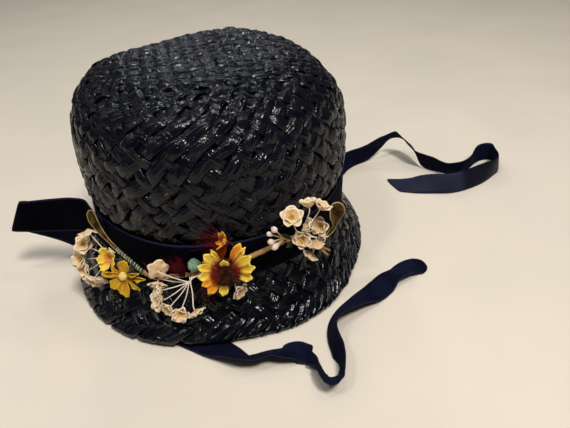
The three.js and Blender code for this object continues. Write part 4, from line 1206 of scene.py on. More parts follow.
# %% Build the cupped blossom tree
BLOSSOM_RUFFLES = 7.0
BLOSSOM_CRUMPLES = 330.0
DISC_HOLE = 0.05
blossom_tree, given, end = new_tree(
    "Cupped blossom", "Geometry", (), Sides=41, Rings=9, Lobes=5.0, Lobe_Depth=0.12, Ruffle=0.11,
    Crumple=0.0011, Cloth=None)
tree = blossom_tree
disc = put(tree, "GeometryNodeMeshGrid", {
    "Size X": 1.0, "Size Y": 1.0, "Vertices X": given["Sides"], "Vertices Y": given["Rings"]})
disc_at = put(tree, "ShaderNodeSeparateXYZ", {0: put(tree, "GeometryNodeInputPosition")})
disc = stored(stored(disc, "round", disc_at[0] * (2 * math.pi)), "out", disc_at[1] + 0.5)
angle, out = carried(tree, "round"), carried(tree, "out")
lobe = maths("COSINE", angle * given["Lobes"]) * given["Lobe Depth"] * ramp(out, 0.35, 1.0)
disc_radius = (out * (1.0 - DISC_HOLE) + DISC_HOLE) * (lobe + 1.0)
disc_x, disc_y = disc_radius * maths("COSINE", angle), disc_radius * maths("SINE", angle)
disc = placed(disc, Position=vector_of(tree, disc_x, disc_y, 0.0))
disc = put(tree, "GeometryNodeMergeByDistance", {"Geometry": disc, "Distance": 0.002})
bell = carried(tree, "cup") * out ** 1.2
wave = maths("SINE", angle * BLOSSOM_RUFFLES + carried(tree, "turn") * 5.0) * given["Ruffle"] * out ** 3.0
heads = moved_along(on_heads(given["Geometry"], disc), faced(tree), (bell + wave) * carried(tree, "reach"))
end_tree(crumpled(heads, BLOSSOM_CRUMPLES, given["Crumple"]), given["Cloth"], end)
print("cupped blossom tree has", len(tree.nodes), "nodes")

# %% Build the stalk tree and the helpers for heads and stalks
UPWARD = np.array([0.0, 0.0, 1.0])
CLOTH_WALL = 0.35
PETAL_LAYER = 0.3
stalk_tree, given, end = new_tree("Round stalk", "Geometry", (), Sides=6, Finish=None)
section = put(stalk_tree, "GeometryNodeCurvePrimitiveCircle", {"Resolution": given["Sides"], "Radius": 1.0},
              mode="RADIUS")
route = put(stalk_tree, "GeometryNodeMeshToCurve", {"Mesh": given["Geometry"]})
end_tree(swept(route, section), given["Finish"], end)


def stalk_line(points, radius, number=0.0):
    """A round stalk through points, with one radius or one for each point."""
    points = np.asarray(points, float)
    reach = np.broadcast_to(np.asarray(radius, float), (len(points),))
    return {"at": points, "facing": np.tile(UPWARD, (len(points), 1)), "reach": reach, "number": number}


def stalks(name, lines, finish, **inputs):
    """One piece of round stalks along lines."""
    return grown(name, line_mesh(name, lines), stalk_tree, Finish=finish, **inputs)


def head_mesh(name, heads):
    """Points for flower heads: rows of a place, a facing, a radius, a turn, a girth and a cup."""
    at, facing, radius, turn, girth, cup = zip(*heads)
    return carrying_mesh(name, at, [], facing, reach=np.array(radius) * MM, turn=turn, girth=girth, cup=cup)


def thickened(piece, wall):
    """Gives a thin sheet a wall, in millimetres, and keeps it as a plain mesh."""
    solid = piece.modifiers.new("wall", "SOLIDIFY")
    solid.thickness = wall * MM
    solid.offset = 0.0
    return kept_plain(piece)


def cut_heads(name, heads, tree=head_tree, **inputs):
    """Flower heads of cloth on points, with the cloth's own thickness."""
    return thickened(grown(name, head_mesh(name, heads), tree, **inputs), CLOTH_WALL)


def ray(face, turn):
    """The way across a flower's face at a turn from its top, in radians."""
    turned = Vector((0, 0, 1)).rotation_difference(Vector(face)).to_matrix()
    return np.array(turned.col[1]) * math.cos(turn) - np.array(turned.col[0]) * math.sin(turn)


def single_petals(at, face, rows):
    """Heads of one petal each, from rows of a turn, a length, a girth and a lean to the front, in degrees."""
    heads = []
    for index, (turn, length, girth, lean) in enumerate(rows):
        turn, lean = math.radians(turn), math.radians(lean)
        facing = face * math.cos(lean) - ray(face, turn) * math.sin(lean)
        heads.append((at + face * PETAL_LAYER * (index % 3), facing, length, turn, girth, 0.0))
    return heads


print("stalk tree has", len(stalk_tree.nodes), "nodes")

# %% [markdown]
# ## The bound stem
# All the flowers are tied to one wire that lies along the band. At the left it is bound with pale thread
# over a dark wire, so the turns show. In the middle two tan wires run twisted together, and at the right
# they are rolled in brown paper, with the two wires' ends sticking out. The turns show at the outline, so
# each is a real helix.

# %% Wind the bound stem
GARLAND = np.array([
    (229, 45.5), (234, 44), (239.5, 41.5), (244.5, 37), (249, 35.5), (255, 38), (263, 41.8), (274, 46),
    (285, 50.5), (293, 53), (300, 53.5), (306, 48), (312, 38)])
GARLAND_RADIUS, GARLAND_REACH, STEM_RADIUS = 1.5, 3.6, 0.5
FOOT_REACH = GARLAND_RADIUS + SEAT_GAP + STEM_RADIUS
WIRE_STEPS = 8
GREEN_END, TAN_END, GARLAND_END = 245, 283, 320
WIRE_TIPS = ((319.2, 27.2, 3.4), (317.4, 26.0, 3.4))
SLIP_WAVES = ((0.9, 0.8, 0.0), (0.5, 2.1, 0.0))
PAPER_RADIUS, TIP_RADIUS = 1.38, 0.85


def garland_point(azimuth, extra=0.0):
    """A point of the bound stem by azimuth, or one that far off its outer side."""
    return off_side(azimuth, np.interp(azimuth, GARLAND[:, 0], GARLAND[:, 1]), GARLAND_REACH + extra)


def thread_finish(name, dark, light):
    """Wound thread with a mottled tone."""
    material, tree, shader = new_finish(name, dark, 0.7, Specular_IOR_Level=0.25)
    woven = use_group(tree, cloth_group)
    feed(shader["Base Color"], blend(woven["Mottle"], dark, light))
    bump_from(shader, woven["Height"], 0.15, CLOTH_DEPTH)
    return material


dark_wire = thread_finish("dark green wire", (0.03, 0.04, 0.02), (0.08, 0.1, 0.05))
pale_thread = thread_finish("pale green thread", (0.3, 0.3, 0.16), (0.6, 0.56, 0.36))
tan_wire = thread_finish("tan wire", (0.26, 0.15, 0.06), (0.5, 0.32, 0.15))
brown_paper = thread_finish("brown paper", (0.3, 0.15, 0.05), (0.52, 0.3, 0.12))
wire_points, _ = smooth_route([garland_point(row[0]) for row in GARLAND], WIRE_STEPS)
wire_azimuth = np.interp(np.arange(len(wire_points)), np.arange(len(GARLAND)) * WIRE_STEPS, GARLAND[:, 0])


def wire_between(low, high):
    """The stretch of the wire between two azimuths."""
    return wire_points[(wire_azimuth >= low - 0.4) & (wire_azimuth <= high + 0.4)]


def winding(points, pitch, off, thread, start=0.0):
    """A helix of thread round a line of points."""
    run = lengths_along(points)
    fine = np.arange(0, run[-1], min(pitch / 10, 0.5))
    middle = np.stack([np.interp(fine, run, points[:, axis]) for axis in range(3)], -1)
    ahead = unit(np.gradient(middle, axis=0))
    first = unit(np.cross(ahead, UPWARD))
    second = np.cross(ahead, first)
    angle = (2 * math.pi * fine / pitch + start + waves(fine, SLIP_WAVES))[:, None]
    return stalk_line(middle + off * (first * np.cos(angle) + second * np.sin(angle)), thread)


green_run, tan_run = wire_between(0, GREEN_END), wire_between(GREEN_END, TAN_END)
brown_run = wire_between(TAN_END, GARLAND_END)
brown_step = np.arange(len(brown_run))
brown_lumps = PAPER_RADIUS + 0.1 * np.sin(brown_step * 1.7) + 0.06 * np.sin(brown_step * 0.6)
tip_starts = garland_point(307), garland_point(311, 0.6)
tip_routes = [smooth_route([*tip_starts, off_side(*tip)], 6)[0] for tip in WIRE_TIPS]
tip_lines = [stalk_line(route, TIP_RADIUS) for route in tip_routes]
BINDINGS = (
    ("dark_wire", dark_wire, [stalk_line(green_run, 1.0)]),
    ("pale_thread", pale_thread, [winding(green_run, 1.9, 1.0, 0.36)]),
    ("tan_wires", tan_wire, [winding(tan_run, 17.0, 0.7, 0.78, start) for start in (0.0, math.pi)]),
    ("brown_paper", brown_paper, [stalk_line(brown_run, brown_lumps), winding(brown_run, 6.5, 1.34, 0.2)]),
    ("wire_ends", brown_paper, tip_lines))
for name, finish, lines in BINDINGS:
    settle(stalks(f"bound_stem_{name}", lines, finish, Sides=8), "bound_stem", "garland_stem")

# %% [markdown]
# ## Cream sprays
# Four sprays of small cream blossoms hang on thin waxed stems that run together at the bound stem. Each
# row below is one blossom: its place, its radius, the way it faces and how deep its cup is. The lean of
# each one matters, since a spray that all looks the same way seems printed.

# %% Cut the cream blossoms and their stems
SPRAYS = {
    "left": ((229.5, 233), (230.2, 42.5, 7.5), (
        (224, 56.3, 11.5, 5.3, 111, 60, -0.45), (220.7, 44.9, 16, 5.0, 265, 52, 0.3),
        (219.3, 34, 19, 5.9, 234, 35, 0.5), (221.9, 28, 15.5, 5.1, 229, 25, 0.6),
        (226.6, 25.4, 13, 4.6, 247, -11, 0.7), (231.3, 30.2, 14.5, 3.9, 260, -35, 0.6))),
    "middle": ((264, 268), (264.5, 41.5, 8), (
        (255.2, 48.9, 10.5, 5.1, 112, -9, 0.35), (254.2, 39.6, 11.5, 4.7, 261, -42, 0.25),
        (255.5, 37.9, 14.5, 4.2, 208, 15, 0.8), (255.5, 32, 14.5, 5.1, 217, 24, 0.7),
        (258.6, 28, 13.5, 4.2, 243, -4, 0.7), (262.3, 26.4, 14.5, 4.6, 274, 10, 0.55),
        (266.6, 27.9, 14.5, 4.6, 310, -47, 0.35))),
    "pendant": ((279, 281), (278.4, 41.5, 9), ((279.1, 36.2, 13.5, 5.0, 318, -12, 0.35),)),
    "right": ((300, 308), (302, 57, 8), (
        (297.8, 73.9, 8.5, 5.5, 276, 62, 0.4), (303.6, 78.4, 10, 4.3, 115, 67, 0.85),
        (300.7, 58.1, 13, 4.7, 259, 14, 0.4), (303, 64.8, 12.5, 4.5, 172, 34, 0.55),
        (307.8, 74.2, 12, 4.7, 16, 62, 0.7), (308.4, 60.4, 13, 4.9, 233, 17, 0.6),
        (306.3, 51, 13.5, 4.5, 241, -80, 0.5), (310.8, 49.9, 12.5, 4.2, 190, 16, 0.5),
        (305.5, 41.2, 11, 4.4, 205, -50, 0.5)))}
NECK = 1.6
BLOSSOM_FULL = 1.1
THIN_STEM = 0.34
CUP_MIDDLE = 0.45
STEM_SAG, STEM_SINK = 0.05, 0.3
BUNDLE_SPREAD = np.array([1.2, -0.6, 2.4])
INNER_SIZE, INNER_RISE, INNER_TURN, INNER_CUP = 0.72, 0.5, 0.6, 0.25
HEART_SIZE, HEART_RISE = 0.28, 0.7
HEART_SHAPE = {"Petals": 7, "Half_Width": 0.3, "Foot_Width": 0.5, "Cup": 1.1, "Ruffle": 0.0, "Scatter": 0.25}


def outward(azimuth, rise):
    """The way straight off the straw at an azimuth, with some rise."""
    turn = math.radians(azimuth)
    return unit(np.array([math.cos(turn), math.sin(turn), rise]))


def looking(azimuth, elevation):
    """A direction by azimuth and elevation, in degrees."""
    return outward(azimuth, math.tan(math.radians(elevation)))


def flower_stem(at, facing, through, radius, number):
    """A stem from its foot, through the points given, to the back of a head."""
    behind = at - facing * NECK
    sag = np.array([0, 0, -STEM_SAG]) * np.linalg.norm(behind - through[-1])
    points, _ = smooth_route([*through, (behind + through[-1]) / 2 + sag, behind, at + facing * STEM_SINK], 6)
    return stalk_line(points, radius, number)


for spray, ((first, last), gather, rows) in SPRAYS.items():
    heads, hearts, stems = [], [], []
    for index, (azimuth, height, reach, radius, face, rise, cup) in enumerate(rows):
        share = index / (len(rows) - 1) if len(rows) > 1 else 0.5
        facing = looking(face, rise)
        at = off_side(azimuth, height, reach) - facing * CUP_MIDDLE * cup * radius
        turn = chance.uniform(0, 6.28)
        radius *= BLOSSOM_FULL
        heads.append((at, facing, radius, turn, chance.uniform(0.88, 1.08), cup))
        if cup > 0:
            inner_at, heart_at = at + facing * INNER_RISE, at + facing * HEART_RISE
            heads.append((inner_at, facing, radius * INNER_SIZE, turn + INNER_TURN, 1.0, cup + INNER_CUP))
            hearts.append((heart_at, facing, radius * HEART_SIZE, turn, 1.0, 0.0))
        foot = garland_point(first + (last - first) * share, FOOT_REACH)
        bundle = off_side(*gather) + (share - 0.5) * BUNDLE_SPREAD
        stems.append(flower_stem(at, facing, (foot, bundle), THIN_STEM, index))
    nodes = [f"blossom_{spray}_{index + 1}" for index in range(len(rows))]
    cut = blush_cloth if spray == "pendant" else cream_cloth
    for piece in (cut_heads(f"{spray}_blossoms", heads, blossom_tree, Cloth=cut),
                  cut_heads(f"{spray}_hearts", hearts, Cloth=stamen_cloth, **HEART_SHAPE),
                  stalks(f"{spray}_stems", stems, stalk_white)):
        settle(piece, "cream_cloth", *nodes)

# %% [markdown]
# ## Sunflower
# The largest flower has a loose ring of notched yellow petals, deep orange at the foot, round a plush
# eye. Every petal was bent by hand, so each has its own row: its turn from the top, its length, its girth
# and how far it leans to the front. Five petals came out of an oranger cloth.

# %% Cut the sunflower
SUNFLOWER_AT = off_side(276.1, 51.0, 12.5)
SUNFLOWER_FACE = outward(276.1, 0.3)
YELLOW_PETALS = (
    (82, 15.9, 1.0, 12), (105, 15.1, 1.1, 10), (174, 13.9, 1.15, 0), (-108, 14.7, 1.15, 6),
    (-85, 16.3, 1.0, 12), (-61, 17.6, 0.95, 14), (-38, 17.8, 0.5, 6), (3, 13.2, 1.15, 38),
    (31, 15.5, 0.55, 4), (52, 16.5, 1.1, 12))
RUST_PETALS = (
    (145, 15.3, 1.05, 6), (-26, 18.3, 0.9, 4), (124, 14.6, 1.0, 8), (66, 13.5, 0.8, 2), (-72, 13.8, 0.9, 3))
PETAL_SHAPE = {
    "Petals": 1, "Half_Width": 0.155, "Foot_Width": 0.4, "Bluntness": 0.24, "Teeth": 2.0, "Tooth_Depth": 0.02,
    "Cup": 0.08, "Trough": 0.07, "Ruffle": 0.02, "Scatter": 0.0, "Inner": 0.2, "Crumple": 0.0007}
for name, rows, finish in (("yellow", YELLOW_PETALS, yellow_cloth), ("orange", RUST_PETALS, rust_cloth)):
    petals = single_petals(SUNFLOWER_AT, SUNFLOWER_FACE, rows)
    petals = cut_heads(f"sunflower_{name}_petals", petals, Cloth=finish, **PETAL_SHAPE)
    settle(petals, "yellow_cloth", "sunflower_petals")
neck_points = np.linspace(garland_point(276.3, FOOT_REACH), SUNFLOWER_AT + SUNFLOWER_FACE, 5)
neck = stalks("sunflower_neck", [stalk_line(neck_points, 1.0)], green_cloth)
settle(neck, "yellow_cloth", "sunflower_petals")

# %% [markdown]
# The eye's pile is real: short tapered fibres set on a low dome. Longer red fibres lie out over the
# petals to the left and the right, and turn orange towards their tips.

# %% Turn the dome of the sunflower's eye
EYE_RADIUS, EYE_RISE = 6.9, 3.0
EYE_AT = SUNFLOWER_AT + SUNFLOWER_FACE * 2.2
EYE_PROFILE = (
    (0.6, 0), (1, 0.02), (0.97, 0.3), (0.9, 0.55), (0.72, 0.75), (0.5, 0.84), (0.25, 0.8), (0.05, 0.74))
plush = plush_finish(
    "brown plush", (0.03, 0.009, 0.004), (0.016, 0.005, 0.003), (0.1, 0.024, 0.006), 320.0, 0.4,
    Sheen_Weight=0.08)


def turned_body(name, profile, size, at, facing, finish, ribs=0, rib_depth=0.0, sides=24):
    """A round body turned from shares of a radius and a length, along a facing, with soft ribs."""
    first = unit(np.cross(facing, UPWARD))
    second = np.cross(facing, first)
    angle = np.linspace(0, 2 * math.pi, sides, endpoint=False)
    swell = 1 + rib_depth * np.cos(ribs * angle)
    circle = first * np.cos(angle)[:, None] + second * np.sin(angle)[:, None]
    count, (radius, length) = len(profile), size
    points = [at + facing * length * rise + (radius * out * swell)[:, None] * circle for out, rise in profile]
    caps = [list(range(sides))[::-1], list(range((count - 1) * sides, count * sides))]
    faces = caps + grid_faces(count, sides, close_columns=True).tolist()
    return smooth_piece(name, points, faces, (finish,), out=np.repeat(np.linspace(0, 1, count), sides))


print("eye dome has", len(EYE_PROFILE), "rings")

# %% Set short fibres on the dome
FIBRE_LEANS = {0: (-0.6, -0.6, 0.0), 1: (0.6, 0.6, 6.28)}
fibre_tree, given, end = new_tree(
    "Plush fibres", "Geometry", (), Density=5e6, Length=0.0016, Radius=0.00018, Seed=3, Finish=None)
tree = fibre_tree
spots = put(tree, "GeometryNodeDistributePointsOnFaces", {
    "Mesh": given["Geometry"], "Density": given["Density"], "Seed": given["Seed"]})
fibre = put(tree, "GeometryNodeMeshCone", {
    "Vertices": 4, "Radius Top": 0.0, "Radius Bottom": given["Radius"], "Depth": given["Length"]})
lean = put(tree, "FunctionNodeRandomValue", FIBRE_LEANS, data_type="FLOAT_VECTOR")
leaned = put(tree, "FunctionNodeRotateRotation", {0: spots[2], 1: lean}, rotation_space="LOCAL")
joined = put(tree, "GeometryNodeJoinGeometry", {0: given["Geometry"]})
feed(joined.socket.node.inputs[0], set_on(spots, fibre, leaned))
end_tree(joined, given["Finish"], end)

dome = turned_body("eye_dome", EYE_PROFILE, (EYE_RADIUS, EYE_RISE), EYE_AT, SUNFLOWER_FACE, plush)
dome_mesh = dome.data
bpy.data.objects.remove(dome)
settle(grown("sunflower_plush_eye", dome_mesh, fibre_tree, Finish=plush), "brown_plush", "sunflower_eye")

# %% Lay the long red fibres over the petals
FRINGE_SIDES = ((84, 26, 60), (-72, 30, 60), (125, 12, 20), (0, 60, 16))
FRINGE_INNER, FRINGE_OUTER, FRINGE_RISE = (2.5, 5.0), (6.5, 9.4), (1.9, 2.9)
FRINGE_CURL, FRINGE_ARCH, FRINGE_DROP, FRINGE_RADIUS = 0.9, 0.9, 1.5, 0.19
red_fibre = strand_finish(
    "red eye fibre", (0.2, 0.01, 0.008), 0.2, 0.001, 0.006, (0.13, 0.006, 0.007), (0.5, 0.07, 0.008))
share = np.linspace(0, 1, 5)[:, None]
fringe = []
for middle_turn, turn_spread, count in FRINGE_SIDES:
    for number in range(count):
        way = ray(SUNFLOWER_FACE, math.radians(middle_turn + chance.normal(0, turn_spread)))
        inner_end, outer_end = chance.uniform(*FRINGE_INNER), chance.uniform(*FRINGE_OUTER)
        rise = chance.uniform(*FRINGE_RISE)
        curl = np.cross(way, SUNFLOWER_FACE) * chance.normal(0, FRINGE_CURL)
        line = EYE_AT + way * (inner_end + (outer_end - inner_end) * share) + curl * share ** 2
        line = line + SUNFLOWER_FACE * (rise + FRINGE_ARCH * np.sin(share * 2.2) - FRINGE_DROP * share ** 2)
        fringe.append(stalk_line(line, FRINGE_RADIUS * (1 - 0.7 * share[:, 0]), number))
settle(stalks("sunflower_eye_fringe", fringe, red_fibre, Sides=4), "brown_plush", "sunflower_eye")

# %% [markdown]
# ## Yellow flowers and the orange bud
# The yellow daisy has a bulging pale heart and long strap petals, each bent its own way, so it is cut
# petal by petal like the sunflower. The small trumpet and the orange bud are whole rings from the same
# tree, with a deeper cup.

# %% Cut the yellow flowers and the bud
DAISY_AT, DAISY_FACE = off_side(240.5, 37.3, 11.5), outward(255, 0.35)
DAISY_PETALS = (
    (79, 13.5, 0.68, 8), (128, 10.8, 1.25, 12), (179, 12.9, 1.1, 6), (-142, 13.1, 0.3, 4),
    (-108, 15.2, 0.42, 6), (-96, 13.3, 0.42, 14), (-20, 9.4, 2.1, 2), (44, 9.0, 0.8, 2),
    (158, 11.5, 0.7, 3))
RUST_PETAL = ((62, 7.2, 1.6, -4),)
STRAP_SHAPE = {"Petals": 1, "Half_Width": 0.2, "Foot_Width": 0.5, "Scatter": 0.0}
STRAP_BEND = {"Bluntness": 0.3, "Cup": 0.05, "Trough": 0.16, "Ruffle": 0.03, "Inner": 0.05, "Crumple": 0.0012}
KNOB_PROFILE = ((0.5, -0.1), (0.9, 0.0), (1, 0.3), (0.92, 0.6), (0.7, 0.85), (0.4, 0.97), (0.1, 1.0))
KNOB_SIZE, KNOB_RISE = (2.6, 3.2), 0.4
knob_cloth = cloth("pale yellow knob", (0.7, 0.46, 0.06), (0.8, 0.58, 0.14), (0.84, 0.66, 0.2), 0.05, 0.5)
red_stalk = thread_finish("red stalk", (0.1, 0.004, 0.006), (0.2, 0.012, 0.01))


def single_stem(name, at, facing, foot_at, finish):
    """One flower's stem, from the bound stem to the back of its head."""
    line = flower_stem(at, facing, (garland_point(foot_at, FOOT_REACH),), STEM_RADIUS, 1)
    return stalks(f"{name}_stem", [line], finish)


straps = single_petals(DAISY_AT, DAISY_FACE, DAISY_PETALS)
rust_strap = single_petals(DAISY_AT, DAISY_FACE, RUST_PETAL)
knob_at = DAISY_AT + DAISY_FACE * KNOB_RISE
for piece in (
        cut_heads("yellow_daisy_petals", straps, Cloth=lemon_cloth, **STRAP_SHAPE, **STRAP_BEND),
        cut_heads("yellow_daisy_rust_petal", rust_strap, Cloth=orange_cloth, **STRAP_SHAPE),
        turned_body("yellow_daisy_heart", KNOB_PROFILE, KNOB_SIZE, knob_at, DAISY_FACE, knob_cloth, 4, 0.08),
        single_stem("yellow_daisy", DAISY_AT, DAISY_FACE, 242, dark_wire)):
    settle(piece, "yellow_cloth", "yellow_daisy")

SINGLE_TURN = 0.4
SINGLES = (
    ("yellow_trumpet", (233.2, 43.2, 10.2), 238, (254, 24), 6.4, "yellow_cloth", yellow_cloth, dark_wire,
     {"Petals": 5, "Half_Width": 0.46, "Foot_Width": 0.45, "Bluntness": 0.3, "Cup": 0.75, "Trough": 0.12,
      "Ruffle": 0.1, "Scatter": 0.2}),
    ("orange_bud", (277.2, 67.4, 6), 284.6, (202, 29), 4.6, "orange_cloth", orange_cloth, red_stalk,
     {"Petals": 5, "Half_Width": 0.38, "Foot_Width": 0.4, "Bluntness": 0.45, "Cup": 0.9, "Trough": 0.16,
      "Scatter": 0.22}))
for name, spot, foot_at, face, radius, slot, finish, stalk, shape in SINGLES:
    at, facing = off_side(*spot), looking(*face)
    head = [(at, facing, radius, SINGLE_TURN, 1.0, 0.0)]
    settle(cut_heads(f"{name}_petals", head, Cloth=finish, **shape), slot, name)
    settle(single_stem(name, at, facing, foot_at, stalk), slot, name)

# %% [markdown]
# ## Calyx and buds
# A pale green calyx has lost its flower, and four small buds stand on gold stems that meet beside the
# brown paper. They are turned bodies with soft ribs, since nothing on them repeats. The buds are clubs
# with a pink tip.

# %% Turn the calyx and the buds
CALYX_AT, CALYX_FACE = off_side(266.1, 49.8, 4.8), outward(222, 0.55)
CALYX_PROFILE = (
    (0.15, -0.5), (0.5, -0.46), (0.8, -0.28), (1, -0.05), (0.97, 0.15), (0.9, 0.3), (0.6, 0.4), (0.15, 0.36))
CALYX_SIZE = (3.5, 7.4)
calyx = turned_body("calyx_cup", CALYX_PROFILE, CALYX_SIZE, CALYX_AT, CALYX_FACE, green_cloth, 6, 0.09)
settle(calyx, "green_cloth", "calyx")

bud_cloth = cloth("bud cloth", (0.6, 0.5, 0.36), (0.84, 0.74, 0.64), (0.8, 0.5, 0.46), 0.15, 0.5)
gold_stem = thread_finish("gold stem", (0.42, 0.27, 0.1), (0.62, 0.44, 0.2))
BUD_JOIN = off_side(296.3, 57.8, 6.5)
BUDS = (
    (291.6, 70.4, 9, 1.7, 4.6), (290.2, 67.6, 8.2, 1.35, 4.4), (290.5, 62.4, 9.8, 1.6, 4.4),
    (291.8, 58.4, 10.4, 1.75, 5.6))
BUD_CLUB = (
    (0.22, -1.05), (0.3, -0.7), (0.5, -0.45), (0.86, -0.2), (1, 0.05), (0.92, 0.28), (0.6, 0.44), (0.12, 0.5))
BUD_STEM = 0.42
BUD_FOOT, BUD_FOOT_STEP = 299.5, 0.6
bud_stems = []
bud_names = [f"bud_{index + 1}" for index in range(len(BUDS))]
for index, (azimuth, height, reach, radius, length) in enumerate(BUDS):
    name = bud_names[index]
    at = off_side(azimuth, height, reach)
    facing = unit(at - BUD_JOIN)
    body = turned_body(f"{name}_cup", BUD_CLUB, (radius, length), at, facing, bud_cloth, 5, 0.06, 20)
    settle(body, "cream_cloth", name)
    foot = garland_point(BUD_FOOT - BUD_FOOT_STEP * index, FOOT_REACH)
    stem_points, _ = smooth_route([foot, BUD_JOIN, at - facing * length * 0.3], 6)
    bud_stems.append(stalk_line(stem_points, BUD_STEM, index))
settle(stalks("bud_stems", bud_stems, gold_stem), "cream_cloth", *bud_names)

# %% [markdown]
# ## Leaves
# Two brown velvet leaves, cupped along the middle, have a beige cord sewn round their edge. The left one
# is a narrow strap. The right one opens from a thin stalk into a wide cup. The small dark leaves have no
# cord. A leaf is a grid along its spine with its own half widths, and the cord is a stalk along its edge.

# %% Cut the leaves and sew their edges
leaf_velvet = plush_finish(
    "brown leaf velvet", (0.03, 0.018, 0.006), (0.016, 0.009, 0.002), (0.1, 0.058, 0.012), 260.0, 0.5,
    Sheen_Weight=0.12, Sheen_Roughness=0.4, Sheen_Tint=(0.6, 0.45, 0.2))
gold_edge = thread_finish("beige edge cord", (0.3, 0.2, 0.07), (0.5, 0.37, 0.16))
LEAVES = (
    ("left_leaf", (258, 25), 0.5, 0.32, (
        (232.2, 45.9, 3.7), (228.8, 53.2, 5.7), (226.5, 61.3, 6.6), (225.8, 70.2, 4.4)),
     ((0, 0.7), (0.3, 1.2), (0.55, 1.7), (0.78, 3), (0.92, 2.8), (1, 1.2))),
    ("right_leaf", (296, 26), 0.6, 0.36, (
        (312.75, 39.1, 3.8), (318, 38.6, 5), (321.5, 42, 6.5), (320.6, 50, 8.6), (319.6, 57, 9),
        (319.6, 64, 7.6)),
     ((0, 0.4), (0.2, 0.5), (0.34, 1.3), (0.52, 1.6), (0.64, 3.2), (0.78, 4.9), (0.9, 4.7), (0.97, 3.6),
      (1, 1.6))))
SMALL_LEAVES = ((295.4, 61, 5.4, 299), (296.6, 51.4, 7.2, 299.4), (276.6, 36.8, 9, 278))
SMALL_WIDTHS = ((0, 0.3), (0.3, 1.5), (0.55, 2), (0.8, 1.4), (1, 0.15))
SMALL_CUP = 0.3
LEAF_RIPPLE = 0.25
LEAF_STEPS = 30
LEAF_ACROSS = 9
LEAF_WALL = 0.6


def cut_leaf(name, spine, widths, cup, finish, face=None):
    """A cupped leaf along a spine, with half widths along it, faced out or one way, and its edges' line."""
    points, ways = smooth_route(spine, LEAF_STEPS // (len(spine) - 1))
    count = len(points)
    share = np.linspace(0, 1, count)
    out = unit(points * [1, 1, 0]) if face is None else looking(*face)
    aside = unit(np.cross(ways, out))
    normal = unit(np.cross(aside, ways))
    half = np.interp(share, *np.array(widths).T)
    span = np.linspace(-1, 1, LEAF_ACROSS)
    rise = cup * half[:, None] * span ** 2
    ripple = LEAF_RIPPLE * np.sin(9 * share)[:, None] * span
    grid = points[:, None] + aside[:, None] * (half[:, None] * span)[..., None]
    grid = grid + normal[:, None] * (rise + ripple)[..., None]
    faces = grid_faces(count, LEAF_ACROSS).tolist()
    blade = smooth_piece(name, grid, faces, (finish,), out=np.repeat(share, LEAF_ACROSS))
    return thickened(blade, LEAF_WALL), np.concatenate([grid[:, 0], grid[::-1, -1]])


for name, face, cup, cord_radius, rows, widths in LEAVES:
    spine = [off_side(*row) for row in rows]
    blade, edge = cut_leaf(f"{name}_blade", spine, widths, cup, leaf_velvet, face)
    settle(blade, "leaf_velvet", name)
    settle(stalks(f"{name}_edge", [stalk_line(edge, cord_radius)], gold_edge), "leaf_velvet", name)
for index, (azimuth, height, reach, foot_at) in enumerate(SMALL_LEAVES):
    name = f"small_leaf_{index + 1}"
    spine = [garland_point(foot_at, FOOT_REACH), off_side(azimuth, height, reach)]
    blade, _ = cut_leaf(f"{name}_blade", spine, SMALL_WIDTHS, SMALL_CUP, dark_green_cloth)
    settle(blade, "dark_green_cloth", name)

# %% [markdown]
# ## Red tufts
# Four wisps of feather stick out between the flowers: three are dark red, and one is orange-red and lies
# close behind the bud. Each is a bundle of fine, curled, tapered strands that part towards the tip. They
# are swept from lines like the stems, only thinner.

# %% Spread the red tufts
DARK_RED = (0.15, 0.006, 0.01)
red_feather = strand_finish(
    "red feather", (0.06, 0.003, 0.005), 0.15, 0.002, 0.014, (0.035, 0.0015, 0.003), DARK_RED)
flame_feather = strand_finish(
    "orange red feather", (0.3, 0.03, 0.006), 0.15, 0.016, 0.024, (0.5, 0.06, 0.008), DARK_RED)
TUFTS = (
    (262.5, ((260.2, 51.8, 5.2),), 150, 0.28, red_feather),
    (252, ((248.5, 44.6, 4.6),), 60, 0.24, red_feather),
    (270.4, ((269, 32.4, 7),), 90, 0.24, red_feather),
    (272.6, ((276, 66.5, 4.4), (271.6, 73.4, 4.4)), 90, 0.06, flame_feather))
STRAND_RADIUS = 0.11
STRAND_STEPS = 9
STRAND_CURL, STRAND_CLEAR = 0.1, 2.2
STRAND_REACH = (0.65, 1.05)

for index, (foot_at, way_points, count, spread, finish) in enumerate(TUFTS):
    foot = garland_point(foot_at, FOOT_REACH)
    stops = np.array([foot, *[off_side(*stop) for stop in way_points]])
    length = lengths_along(stops)[-1]
    middle, _ = smooth_route(stops, STRAND_STEPS // (len(stops) - 1))
    share = np.linspace(0, 1, len(middle))[:, None]
    strands = []
    for number in range(count):
        parting = chance.normal(0, spread, 3) * length
        curl = chance.normal(0, STRAND_CURL, 3) * length
        reach = chance.uniform(*STRAND_REACH)
        line = foot + (middle - foot) * reach + parting * share ** 1.3 + curl * np.sin(share * 5) * share
        out = unit(line * [1, 1, 0])
        inward = np.minimum(0, np.sum((line - stops[-1]) * out, axis=1, keepdims=True) + STRAND_CLEAR)
        strands.append(stalk_line(line - out * inward, STRAND_RADIUS * (1.1 - 0.8 * share[:, 0]), number))
    name = f"red_tuft_{index + 1}"
    settle(stalks(f"{name}_strands", strands, finish, Sides=4), "red_feather", name)

# %% [markdown]
# ## Floor and light
# The hat stands on a plain pale floor under soft light from the front and above. A few small bright
# lights give the glints along the strips, as a room's lamps do.

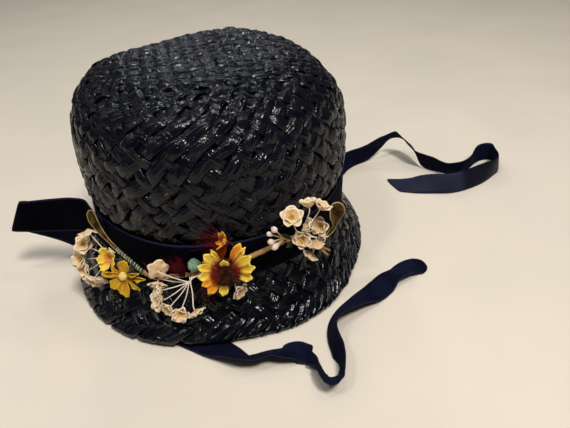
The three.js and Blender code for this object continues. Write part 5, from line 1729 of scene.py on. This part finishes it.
# %% Lay the floor and set the lights
FLOOR_HALF = 6.0
WARM, COOL = (1.0, 0.97, 0.93), (0.88, 0.94, 1.0)
LIGHTS = (
    ("key", (0.4, -0.6, 1.25), 0.26, 14.0, WARM),
    ("lamp_left", (-0.5, -0.45, 1.35), 0.13, 3.2, COOL),
    ("lamp_middle", (-0.05, -0.3, 1.6), 0.13, 2.7, COOL),
    ("lamp_right", (0.6, 0.1, 1.5), 0.12, 2.0, WARM),
    ("lamp_back", (-0.3, 1.2, 1.15), 0.12, 1.8, COOL),
    ("lamp_far", (0.25, 1.3, 1.4), 0.12, 1.5, WARM),
    ("overhead", (-1.0, 0.0, 1.5), 1.4, 4.0, WARM),
    ("wall_behind", (-0.1, 1.7, 0.95), 1.7, 2.2, (0.9, 0.95, 1.0)))
LIGHTS_AIM = Vector((0, 0, 0.06))
FLOOR_TONES = ((0.72, 0.645, 0.54), (0.76, 0.675, 0.56))
ROOM_COLOUR, ROOM_STRENGTH = (1.0, 0.96, 0.9), 0.06

floor_mesh = bpy.data.meshes.new("floor")
floor_corners = [(x * FLOOR_HALF, y * FLOOR_HALF, 0) for x, y in ((-1, -1), (1, -1), (1, 1), (-1, 1))]
floor_mesh.from_pydata(floor_corners, [], [(0, 1, 2, 3)])
floor_finish, tree, shader = new_finish("pale floor", (0.74, 0.66, 0.55), 0.75, Specular_IOR_Level=0.2)
mottle = ramp(noise_at(put(tree, "ShaderNodeTexCoord")["Object"], 9.0, 3.0), 0.3, 0.7)
feed(shader["Base Color"], blend(mottle, *FLOOR_TONES))
floor = piece_from("floor", floor_mesh, (floor_finish,))

for name, place, size, power, colour in LIGHTS:
    lamp = bpy.data.lights.new(name, "AREA")
    lamp.size = size
    lamp.energy = power
    lamp.color = colour
    holder = bpy.data.objects.new(name, lamp)
    holder.location = place
    holder.rotation_euler = (LIGHTS_AIM - Vector(place)).to_track_quat("-Z", "Y").to_euler()
    bpy.context.scene.collection.objects.link(holder)
world = bpy.data.worlds.new("room")
world.use_nodes = True
background = world.node_tree.nodes["Background"].inputs
feed(background["Color"], ROOM_COLOUR)
feed(background["Strength"], ROOM_STRENGTH)
bpy.context.scene.world = world
bpy.context.scene.view_settings.view_transform = "Standard"
print("lights:", len(LIGHTS))
